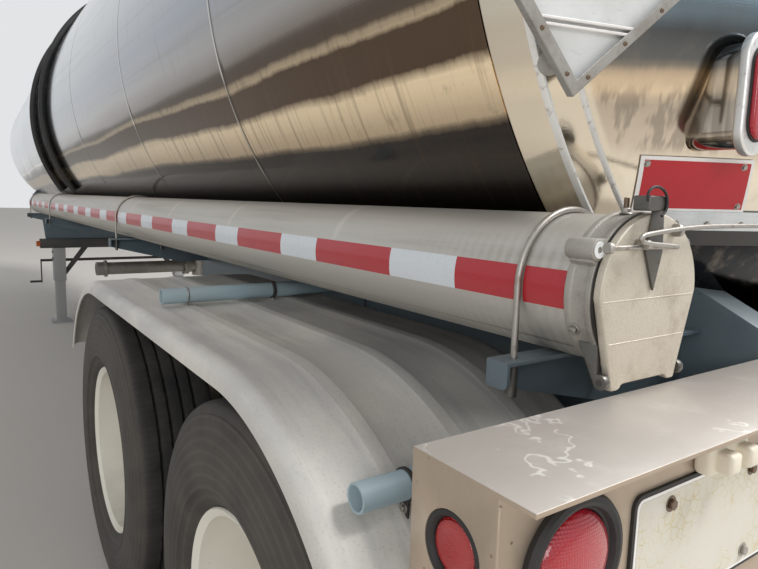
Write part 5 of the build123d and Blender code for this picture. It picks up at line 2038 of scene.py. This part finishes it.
@dataclass
class RearBumper:
    """The folded bumper with its lamps in rubber rings, the blank plate in its recess and the plate lamp."""

    face: float = -5.36
    half_width: float = 1.219
    lamp: Flat = (1.119, 1.11)
    side_lamp: Flat = (-5.303, 1.122)
    plate_left: float = 1.027
    plate_right: float = 0.722
    plate_low: float = 0.997
    plate_high: float = 1.149

    def build(self, nodes: dict[str, Node]) -> None:
        """Makes the bumper, its lamps and the plate.

        Args:
            nodes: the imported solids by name.
        """
        bumper = Work("bumper_sheet").take_node(nodes["rear_bumper"], BUMPER_SHEET, 0.0012)
        for mirror in (1, -1):
            bead = bent_rod([(self.face + 0.001, mirror * 1.2168, z) for z in (0.885, 1.0, 1.19)], 0.0022, 2)
            bumper.take(bead, BUMPER_SHEET)
        bumper.finish("rear_bumper")
        self.lamps()
        self.plate()

    def lamps(self) -> None:
        """Rear and side lamps with their rubber rings."""
        work = Work("bumper_lamps")
        lens = [
            (0.0512, -0.004), (0.0505, 0.002), (0.047, 0.0075), (0.038, 0.0125), (0.024, 0.0155),
            (0.01, 0.0168),
        ]
        ring = [
            (0.0512, -0.02), (0.064, -0.02), (0.064, 0), (0.0682, 0.0005), (0.0685, 0.006), (0.066, 0.0100),
            (0.061, 0.0112), (0.0565, 0.0095), (0.054, 0.004), (0.0512, 0.0025),
        ]
        for side in (1, -1):
            place = facing((self.face, side * self.lamp[0], self.lamp[1]), BEHIND)
            work.take(lathe(ring, 72, closed=True), RUBBER, place)
            work.take(lathe(lens + [(0, 0.0172)], 72), RED_LENS, place)
        lens = [(0.0294, -0.012), (0.0288, -0.0065), (0.0265, -0.0042), (0.018, -0.0026), (0.009, -0.002)]
        ring = [(0.0294, -0.034), (0.0379, -0.034), (0.0379, -0.0012), (0.0368, -0.0002), (0.0325, -0.0002)]
        for side in (1, -1):
            place = facing((self.side_lamp[0], side * self.half_width, self.side_lamp[1]), (0, side, 0))
            work.take(lathe(ring + [(0.0304, -0.0035), (0.0294, -0.006)], 56, closed=True), RUBBER, place)
            work.take(lathe(lens + [(0, -0.0018)], 56), DEEP_LENS, place)
        work.finish("rear_lamps")

    def plate(self) -> None:
        """The blank plate, its black rim, four bolts and the cream lamp with two prongs above it."""
        work = Work("blank_number_plate")
        y_mid, z_mid = (self.plate_left + self.plate_right) / 2, (self.plate_low + self.plate_high) / 2
        half_y, half_z = (self.plate_left - self.plate_right) / 2, (self.plate_high - self.plate_low) / 2
        middle = at(y_mid, z_mid)
        work.take(self.rounded(half_y, half_z, 0.014, 0.004), RUBBER, across(self.face - 0.004) @ middle)
        rim = self.rounded(half_y - 0.0045, half_z - 0.0045, 0.010, 0.0008)
        work.take(rim, PALE_BORDER, across(self.face - 0.0046) @ middle)
        face = self.rounded(half_y - 0.008, half_z - 0.008, 0.008, 0.0007)
        work.take(face, BLANK_PLATE, across(self.face - 0.0050) @ middle)
        for y in (y_mid - 0.088, y_mid + 0.088):
            for z, finish in ((self.plate_high - 0.022, RUSTY), (self.plate_low + 0.022, ZINC)):
                work.take(hex_bolt(0.0062, 0.005), finish, facing((self.face - 0.005, y, z), BEHIND))
        work.finish()
        lamp = Work("plate_lamp")
        low, high = (self.face - 0.022, 0.836, 1.150), (self.face, 0.918, 1.187)
        lamp.take(soften(block(low, high), 0.007, 4), LAMP_CASTING)
        for y in (0.856, 0.898):
            prong = block((self.face - 0.039, y - 0.0115, 1.156), (self.face - 0.012, y + 0.0115, 1.180))
            lamp.take(soften(prong, 0.0045, 3), LAMP_CASTING)
        lamp.finish()

    @staticmethod
    def rounded(half_x: float, half_y: float, corner: float, thickness: float) -> Shape:
        """A plate with rounded corners about its middle.

        Args:
            half_x: half its width.
            half_y: half its height.
            corner: the corners' radius.
            thickness: its thickness.

        Returns:
            The plate.
        """
        outline = []
        for start, sx, sy in ((0, 1, 1), (90, -1, 1), (180, -1, -1), (270, 1, -1)):
            outline += arc((sx * (half_x - corner), sy * (half_y - corner)), corner, start, start + 90, 6)
        return sheet_cut(outline, thickness)


@dataclass
class HeadFittings:
    """What is fixed to the rear head: a blank red sign, the placard holder, the lamps, the sill's strip."""

    centre: Point = (-3.744, 0.0, 2.07)
    crown: float = 1.642
    corners: tuple[Flat, ...] = ((0.679, 1.435), (0.487, 1.436), (0.516, 1.521), (0.702, 1.521))
    inset: float = 0.44
    holder_at: Point = (-5.157, 0.884, 1.778)
    holder_turn: float = 14.0
    holder_tilt: float = -8.22
    holder_roll: float = 2.19
    holder_half: float = 0.1365
    lamp_back: float = -5.15
    lamp: Point = (-5.25, 0.62, 1.606)
    strip: Point = (0.64, 1.4225, 0.0155)

    def on_crown(self, y: float, z: float, lift: float) -> Vector:
        """The point over the head's crown at a place across and up.

        Args:
            y: its place across the trailer.
            z: its height.
            lift: how far off the crown it lies.

        Returns:
            The point.
        """
        radius = self.crown + lift
        middle = Vector(self.centre)
        return Vector((middle.x - math.sqrt(radius**2 - y**2 - (z - middle.z) ** 2), y, z))

    def off_crown(self, y: float, z: float, lift: float) -> Matrix:
        """The place of a bolt that points off the crown.

        Args:
            y: its place across the trailer.
            z: its height.
            lift: how far off the crown it stands.

        Returns:
            The place.
        """
        point = self.on_crown(y, z, lift)
        return facing(point, point - Vector(self.centre))

    def bent_sheet(self, cells: tuple[int, int], spread: Callable, lift: float, thickness: float) -> Shape:
        """A thin sheet that lies on the crown.

        Args:
            cells: its facets across and up.
            spread: gives the place across and the height for two shares from -1 to 1.
            lift: how far its back lies off the crown.
            thickness: its thickness.

        Returns:
            The sheet in its place.
        """
        shape = bmesh.new()
        bmesh.ops.create_grid(shape, x_segments=cells[0], y_segments=cells[1], size=1.0)
        for vert in shape.verts:
            vert.co = self.on_crown(*spread(vert.co.x, vert.co.y), lift)
        outwards(shape)
        if shape.faces[:][0].normal.x > 0:
            bmesh.ops.reverse_faces(shape, faces=shape.faces)
        bmesh.ops.solidify(shape, geom=shape.faces[:], thickness=-thickness)
        return outwards(shape)

    def panel(self, lift: float, share: float, thickness: float) -> Shape:
        """A thin panel between the sign's corners.

        Args:
            lift: how far its back lies off the crown.
            share: its size as a share of the whole sign.
            thickness: its thickness.

        Returns:
            The panel in its place.
        """
        low_left, low_right, high_right, high_left = (Vector(corner) for corner in self.corners)
        wide = 0.5 - (0.5 - share * 0.5) * self.inset

        def spread(right: float, up: float) -> Vector:
            """The place between the corners."""
            low = low_left.lerp(low_right, 0.5 + right * wide)
            return low.lerp(high_left.lerp(high_right, 0.5 + right * wide), 0.5 + up * share * 0.5)

        return self.bent_sheet((18, 9), spread, lift, thickness)

    def sign(self) -> None:
        """The blank red sign with its white border and four bolts."""
        work = Work("blank_red_sign").take(self.panel(0.002, 1.0, 0.0012), PALE_BORDER)
        work.take(self.panel(0.0030, 0.86, 0.0006), RED_SIGN)
        for y, z in ((0.668, 1.447), (0.506, 1.447), (0.689, 1.509), (0.530, 1.509)):
            work.take(hex_bolt(0.0042, 0.0036, 1.35), ZINC, self.off_crown(y, z, 0.0034))
        work.finish()

    def holder_frame(self) -> Matrix:
        """The holder's place: local Z off its face, local Y up its face, local X to the right as seen.

        Returns:
            The matrix.
        """
        turn, tilt = math.radians(self.holder_turn), math.radians(self.holder_tilt)
        out = Vector((-math.cos(tilt) * math.cos(turn), math.cos(tilt) * math.sin(turn), math.sin(tilt)))
        up = (Vector((0, 0, 1)) - out * out.z).normalized()
        axes = Matrix((up.cross(out), up, out)).transposed().to_4x4()
        return at(*self.holder_at) @ axes

    def holder(self) -> None:
        """The square holder on its corner: a mitred channel, a white panel, a double bar and four posts."""
        work = Work("placard_holder")
        frame = self.holder_frame()
        square = frame @ turned(-self.holder_roll)
        outer, inner = self.holder_half * math.sqrt(2), (self.holder_half - 0.0155) * math.sqrt(2)
        channel = [
            (outer, -0.002), (outer, 0.011), (outer - 0.002, 0.0126), (inner, 0.0126), (inner, 0.0106),
            (outer - 0.0036, 0.0106), (outer - 0.0036, 0.0), (inner, 0.0), (inner, -0.002),
        ]
        work.take(soften(lathe(channel, 4, closed=True), 0.0004, 1), PLAIN_ALUMINIUM, square)
        face = pin(outer - 0.005, 0.0002, 0.0016, 4)
        work.take(face, WHITE_PANEL, square)
        for step in range(4):
            side = square @ turned(45 + 90 * step)
            for reach in (-0.105, -0.035, 0.035, 0.105):
                rivet = lathe([(0, 0), (0.0034, 0), (0.0031, 0.001), (0.0018, 0.0018), (0, 0.002)], 14)
                work.take(rivet, RUSTY, side @ at(self.holder_half - 0.0075, reach, 0.0126))
        for height, half in ((-0.1085, 0.066), (-0.1005, 0.074)):
            bar = block((-half, height, 0.0014), (half, height + 0.0036, 0.0112))
            work.take(soften(bar, 0.0008, 1), PALE_BORDER, frame)
        for right, up in ((0.0, -0.145), (0.0, 0.145), (-0.05, 0.0), (0.145, 0.0)):
            start = frame @ Vector((right, up, 0.0))
            away = frame.to_3x3() @ Vector((0, 0, -1))
            run = start - Vector(self.centre)
            share = run.dot(away)
            reach = math.sqrt(max(0.0, share**2 - run.length_squared + self.crown**2))
            length = max(0.004, -share - reach)
            post = pin(0.007, -0.001, length + 0.01, 20, 0.001, 1)
            work.take(post, PLAIN_ALUMINIUM, facing(start, away))
            foot = start + away * length
            pad = lathe([(0, -0.004), (0.018, -0.004), (0.018, 0.003), (0.009, 0.006), (0, 0.006)], 28)
            work.take(soften(pad, 0.001, 1), PLAIN_ALUMINIUM, facing(foot, foot - Vector(self.centre)))
        work.finish()

    def head_lamps(self) -> None:
        """The upright red lamps, each in a thin rubber ring and a bright bezel on a narrower neck."""
        work = Work("head_marker_lamps")
        face, y, z = self.lamp
        layers = (
            (0.050, 0.026, 0.010, self.lamp_back - face - 0.010, 0.003, 2, HEAD_STEEL),
            (0.050, 0.037, 0.0, 0.015, 0.004, 4, BRIGHT_TRIM),
            (0.039, 0.0285, -0.003, 0.004, 0.0015, 2, RUBBER),
            (0.039, 0.0255, -0.010, 0.010, 0.004, 4, RED_LENS),
        )
        for side in (1, -1):
            for half, radius, front, depth, edge, facets, finish in layers:
                outline = arc((0, half), radius, 0, 180, 20) + arc((0, -half), radius, 180, 360, 20)
                layer = soften(sheet_cut(outline, depth), edge, facets)
                work.take(layer, finish, across(face + front) @ at(side * y, z))
        work.finish("head_lamp_boxes")

    def sill(self) -> None:
        """The bright strip under the head and its small bolts."""
        work = Work("sill_trim_strip")
        half_y, z, half_z = self.strip
        strip = self.bent_sheet((48, 2), lambda right, up: (half_y * right, z + half_z * up), 0.0022, 0.003)
        work.take(strip, SILL_SHEET)
        for y in (0.60, 0.546, 0.481, 0.386, 0.28, 0.17, 0.06):
            work.take(hex_bolt(0.0042, 0.0038, 1.4), ZINC, self.off_crown(y, 1.417, 0.0045), True)
        work.finish()

    def build(self) -> None:
        """Makes all of them."""
        self.sign()
        self.holder()
        self.head_lamps()
        self.sill()


@dataclass(frozen=True)
class Stub:
    """One pipe that carries a fender: its place, its open end and the plate that it stands on."""

    x: float
    z: float
    end: float
    plate_low: float
    plate_high: float
    clip: float
    clip_finish: Finish
    clip_half: float


@dataclass
class StubPipes:
    """The pipes that carry the fenders: open ends, clips and the plates on the rails."""

    radius: float = 0.022
    wall: float = 0.004
    plate: Flat = (0.4854, 0.497)
    tab_y: float = 0.80
    pipes: tuple[Stub, ...] = (
        Stub(-3.987, 1.166, 1.129, 1.050, 1.192, 1.060, ZINC, 0.002),
        Stub(-5.024, 1.033, 1.146, 0.985, 1.081, 1.060, RUBBER, 0.0035),
    )

    def clip_shape(self, half: float) -> Shape:
        """A thin ring for the pipe, about local Z."""
        inner = self.radius + 0.0001
        return collar(inner, inner + 0.0032, -half, half, 48, 0.0012, 2)

    def build(self) -> None:
        """Makes the pipes with their clips, tabs and plates on both sides."""
        work = Work("fender_pipes")
        for stub in self.pipes:
            run = stub.end - self.plate[1]
            inner = self.radius - self.wall
            profile = [(inner, 0), (self.radius, 0), (self.radius, run), (0, run), (0, 0.3), (inner, 0.3)]
            pipe = soften(lathe(profile, 56, closed=True), 0.0008, 2)
            work.take(pipe, PIPE_PAINT, facing((stub.x, stub.end, stub.z), RIGHTWARDS), True)
            place = facing((stub.x, stub.clip, stub.z), LEFTWARDS)
            work.take(self.clip_shape(stub.clip_half), stub.clip_finish, place, True)
            place = facing((stub.x, self.tab_y, stub.z), LEFTWARDS)
            work.take(self.clip_shape(0.006), DARK, place, True)
            for y in (stub.clip, self.tab_y):
                low = (stub.x - 0.010, y - 0.002, stub.z - 0.052)
                tab = soften(block(low, (stub.x + 0.010, y + 0.002, stub.z - 0.0215)), 0.001, 1)
                work.take(tab, stub.clip_finish, None, True)
                place = facing((stub.x, y + 0.002, stub.z - 0.036), LEFTWARDS)
                work.take(hex_bolt(0.0055, 0.0045), ZINC, place, True)
            low = (stub.x - 0.045, self.plate[0], stub.plate_low)
            plate = soften(block(low, (stub.x + 0.045, self.plate[1], stub.plate_high)), 0.002, 2)
            work.take(plate, SLATE, None, True)
            for side in (-1, 1):
                for z in (stub.plate_low + 0.014, stub.plate_high - 0.014):
                    place = facing((stub.x + side * 0.032, self.plate[1], z), LEFTWARDS)
                    work.take(hex_bolt(0.0075, 0.006), RUSTY, place, True)
        work.finish("fender_stubs")


@dataclass(frozen=True)
class Carried:
    """A solid that is carried over: the new piece's name, its finish and how wide its edges are rounded."""

    node: str
    piece: str
    finish: Finish
    edge: float


CARRIED = [
    Carried("rear_subframe", "rear_frame_rails", SLATE, 0.002),
    Carried("tank_saddles", "saddle_plates", SLATE, 0.0015),
    Carried("tube_arms", "tube_support_arms", SLATE, 0.0012),
    Carried("rear_guard", "underrun_guard", SLATE, 0.004),
    Carried("landing_beam", "leg_beam", DARK, 0.003),
    Carried("landing_bulkhead", "leg_bulkhead", SLATE, 0.001),
    Carried("landing_legs", "parking_legs", LEG_PAINT, 0.004),
    Carried("landing_braces", "leg_braces", DARK, 0.001),
    Carried("coupler_plate", "coupling_plate", SLATE, 0.002),
    Carried("coupler_frame", "coupling_frame", SLATE, 0.001),
    Carried("spill_dam", "dam_walls", BRUSHED, 0.0008),
    Carried("top_walkway", "walkway_deck", BRUSHED, 0.001),
    Carried("spring_hangers", "spring_brackets", DARK, 0.0015),
    Carried("equalizers", "spring_balancers", DARK, 0.003),
    Carried("mud_flaps", "rubber_flaps", RUBBER, 0.002),
]

DRESSED = {
    "air_tanks": DARK,
    "axles": DARK,
    "beam_lamps": AMBER_LENS,
    "brake_chambers": DARK,
    "drain_hoses": RUBBER,
    "gladhand_bracket": SLATE,
    "hinge_pins": ZINC,
    "kingpin": KINGPIN,
    "ladder": BRUSHED,
    "landing_crank": DARK,
    "leaf_springs": DARK,
    "manway_lid": LID_STEEL,
    "manway_neck": BRUSHED,
    "outlet_pipe": BRUSHED,
    "outlet_valve": BRUSHED,
    "rear_sill": DARK,
    "sump": LID_STEEL,
    "top_vents": BRUSHED,
}


def carry_over(nodes: dict[str, Node]) -> None:
    """Makes the rounded copies and gives the solids that stay their finishes.

    Args:
        nodes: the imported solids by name.
    """
    for row in CARRIED:
        Work(row.piece).take_node(nodes[row.node], row.finish, row.edge).finish(row.node)
    for name, finish in DRESSED.items():
        for slot in nodes[name].material_slots:
            slot.link = "OBJECT"
            slot.material = finish.material()


@dataclass
class Fasteners:
    """Bolts, bands and seals on the parts under the tank, at the front and on top."""

    axles: Flat = (-3.381, -4.625)
    hangers: tuple[float, ...] = (-2.821, -4.003, -5.185)
    seat_top: float = 0.6115
    air_tanks: Flat = (-2.821, -2.44)
    saddles: tuple[float, ...] = (-4.997, -4.103, -2.471)
    rail_top: float = 1.13
    lid_middle: Point = (-0.109, 0.0, 3.1725)

    def sets(self) -> list[Bolts]:
        """Every set of bolts that stays with the chassis.

        Returns:
            The sets.
        """
        return [
            Bolts(tuple((2.13, y, z) for y in (0.628, 0.692) for z in (0.64, 0.74)), AHEAD, 0.008, 0.006),
            Bolts(tuple((x, 0.72, z) for x in (1.962, 2.038) for z in (0.79, 0.72)), LEFTWARDS, 0.009, 0.007),
            Bolts(tuple((x, 0.486, 0.79) for x in self.hangers), LEFTWARDS, 0.017, 0.012),
            Bolts(tuple((x + 0.05, 0.44, self.rail_top + 0.01) for x in self.saddles), UPWARDS, 0.011, 0.008),
            Bolts(round_about((-0.9, 0.0, 0.99), 0.147, 12, 2), DOWNWARDS, 0.009, 0.007, False),
            Bolts(round_about((-0.9, 0.0, 0.972), 0.105, 8, 2), DOWNWARDS, 0.009, 0.007, False),
            Bolts(round_about((-0.9, 0.146, 0.905), 0.055, 6, 1), LEFTWARDS, 0.006, 0.006, False),
            Bolts(((5.242, 0.16, 1.30), (5.242, 0.16, 1.225), (5.242, 0.06, 1.225)), AHEAD, 0.007, 0.005),
        ]

    def band(self, radius: float, half: float) -> Shape:
        """A flat band about local Z over a round body."""
        return collar(radius, radius + 0.0028, -half, half, 64, 0.0008)

    def build(self) -> None:
        """Makes all the small parts."""
        bolts = Work("frame_bolts")
        for row in self.sets():
            for point in row.points:
                bolts.take(hex_bolt(row.radius, row.height), RUSTY, facing(point, row.way), row.both_sides)
        bolts.finish()
        self.spring_clamps()
        self.top()
        bands = Work("bands_and_seals")
        for x in self.air_tanks:
            for y in (-0.25, 0.25):
                bands.take(self.band(0.1101, 0.016), WORN_STEEL, facing((x, y, 0.78), LEFTWARDS))
        for x in self.axles:
            for half, reach in ((0.010, 0.0821), (0.004, 0.0850)):
                bands.take(self.band(reach, half), WORN_STEEL, facing((x - 0.215, 0.3, 0.64), AHEAD), True)
        for y, radius, face in ((0.11, 0.030, 5.287), (-0.11, 0.030, 5.287), (0.0, 0.038, 5.302)):
            seal = [
                (radius * 0.45, 0), (radius * 0.82, 0), (radius * 0.82, 0.003), (radius * 0.7, 0.0055),
                (radius * 0.55, 0.0055), (radius * 0.45, 0.003),
            ]
            bands.take(lathe(seal, 40, closed=True), RUBBER, facing((face, y, 1.27), AHEAD))
        bands.finish()

    def spring_clamps(self) -> None:
        """Two bent rods over each spring with a plate on top and nuts below the axle."""
        work = Work("spring_clamps")
        top, foot = self.seat_top + 0.0546, 0.4443
        for x in self.axles:
            plate = soften(block((x - 0.092, 0.398, top), (x + 0.092, 0.482, top + 0.014)), 0.003, 2)
            work.take(plate, DARK, None, True)
            low = soften(block((x - 0.092, 0.374, foot), (x + 0.092, 0.506, foot + 0.012)), 0.003, 2)
            work.take(low, DARK, None, True)
            for offset in (-0.0725, 0.0725):
                route = [
                    (x + offset, 0.388, foot - 0.02), (x + offset, 0.388, 0.55),
                    (x + offset, 0.388, top + 0.016), (x + offset, 0.396, top + 0.024),
                    (x + offset, 0.44, top + 0.024),
                ]
                back = [(px, 0.88 - py, pz) for px, py, pz in reversed(route[:-1])]
                work.take(bent_rod(route + back, 0.0085), WORN_STEEL, None, True)
                for y in (0.388, 0.492):
                    place = facing((x + offset, y, foot), DOWNWARDS)
                    work.take(hex_bolt(0.015, 0.014, 1.2), RUSTY, place, True)
        work.finish()

    def top(self) -> None:
        """Bolts round the vents' hoods and the manway's neck, and on the lid."""
        work = Work("top_bolts")
        for x, y, radius, height in ((-0.485, 0.205, 0.062, 3.1975), (0.228, 0.215, 0.044, 3.1475)):
            for point in round_about((x, y, height), radius, 6, 2):
                outward = Vector(point) - Vector((x, y, height))
                work.take(hex_bolt(0.006, 0.005), ZINC, facing(point, outward), True)
        work.finish()
        lid = Work("lid_bolts")
        for point in round_about(self.lid_middle, 0.268, 8, 2):
            lid.take(hex_bolt(0.011, 0.009, 1.6), ZINC, facing(point, UPWARDS))
        lid.finish(body="manway_lid")


@dataclass
class Studio:
    """The plain floor, the pale surround, soft lamps and the camera."""

    camera_at: Point = (-5.701, 1.579, 1.44)
    yaw: float = 34.38
    pitch: float = 7.668
    roll: float = -1.5
    focal: float = 29.29
    sensor: float = 36.0
    floor_radius: float = 60.0
    surround: Tone = (226, 228, 230)
    fill: float = 0.62

    def build(self) -> None:
        """Makes the stage."""
        self.floor()
        self.world()
        self.lamp("key_light", (-9.6, -7.2, 13.5), (-3.4, 0.4, 1.0), (6.0, 4.5), 3000.0)
        self.lamp("fill_light", (-12.5, 8.5, 4.2), (-4.2, 0.9, 1.1), (5.0, 3.5), 330.0)
        self.camera()

    def floor(self) -> None:
        """A wide round floor."""
        shape = bmesh.new()
        bmesh.ops.create_circle(shape, cap_ends=True, segments=64, radius=self.floor_radius)
        mesh = bpy.data.meshes.new("floor")
        shape.to_mesh(mesh)
        shape.free()
        mesh.materials.append(FLOOR.material())
        floor = bpy.data.objects.new("floor", mesh)
        bpy.context.scene.collection.objects.link(floor)

    def world(self) -> None:
        """A pale surround for the camera and reflections, and a soft fill for everything else."""
        world = bpy.data.worlds.new("surround")
        bpy.context.scene.world = world
        nodes = Nodes(world)
        rays = nodes.node("ShaderNodeLightPath").outputs
        either = {0: rays["Is Camera Ray"], 1: rays["Is Glossy Ray"]}
        shown = {0: nodes.node("ShaderNodeMath", {"operation": "MAXIMUM"}, either).outputs[0]}
        for place, strength in ((1, self.fill), (2, 1.0)):
            values = {"Color": linear(self.surround), "Strength": strength}
            shown[place] = nodes.node("ShaderNodeBackground", None, values).outputs[0]
        mixed = nodes.node("ShaderNodeMixShader", None, shown)
        nodes.node("ShaderNodeOutputWorld", None, {0: mixed.outputs[0]})

    def lamp(self, name: str, place: Point, target: Point, size: Flat, power: float) -> None:
        """One soft rectangular lamp.

        Args:
            name: its name.
            place: where it hangs.
            target: what it faces.
            size: its width and height.
            power: its power in watts.
        """
        light = bpy.data.lights.new(name, "AREA")
        light.shape = "RECTANGLE"
        light.size, light.size_y = size
        light.energy = power
        lamp = bpy.data.objects.new(name, light)
        lamp.location = place
        lamp.rotation_euler = (Vector(place) - Vector(target)).to_track_quat("Z", "Y").to_euler()
        bpy.context.scene.collection.objects.link(lamp)

    def camera(self) -> None:
        """The camera at the photograph's place."""
        yaw, pitch, roll = (math.radians(angle) for angle in (self.yaw, self.pitch, self.roll))
        ahead = Vector((math.cos(yaw) * math.cos(pitch), -math.sin(yaw) * math.cos(pitch), -math.sin(pitch)))
        right = ahead.cross(Vector((0, 0, 1))).normalized()
        up = right.cross(ahead)
        turned_right = right * math.cos(roll) - up * math.sin(roll)
        turned_up = up * math.cos(roll) + right * math.sin(roll)
        data = bpy.data.cameras.new("camera")
        data.lens, data.sensor_width = self.focal, self.sensor
        data.clip_start, data.clip_end = 0.02, 200.0
        camera = bpy.data.objects.new("camera", data)
        axes = Matrix((turned_right, turned_up, -ahead)).transposed().to_4x4()
        camera.matrix_world = Matrix.Translation(Vector(self.camera_at)) @ axes
        bpy.context.scene.collection.objects.link(camera)
        bpy.context.scene.camera = camera


def main() -> None:
    """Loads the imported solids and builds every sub-assembly around them."""
    logging.basicConfig(level=logging.INFO, format="%(message)s")
    bpy.context.scene.view_settings.view_transform = "Standard"
    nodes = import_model()["nodes"]
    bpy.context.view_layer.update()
    Studio().build()
    TankShell().build()
    HoseTubes().build()
    TubeEnds().build()
    Straps().build()
    HeadFittings().build()
    Fasteners().build()
    Fenders().build()
    StubPipes().build()
    RearBumper().build(nodes)
    Wheels().build()
    Tyres().build()
    carry_over(nodes)


if __name__ == "__main__":
    main()
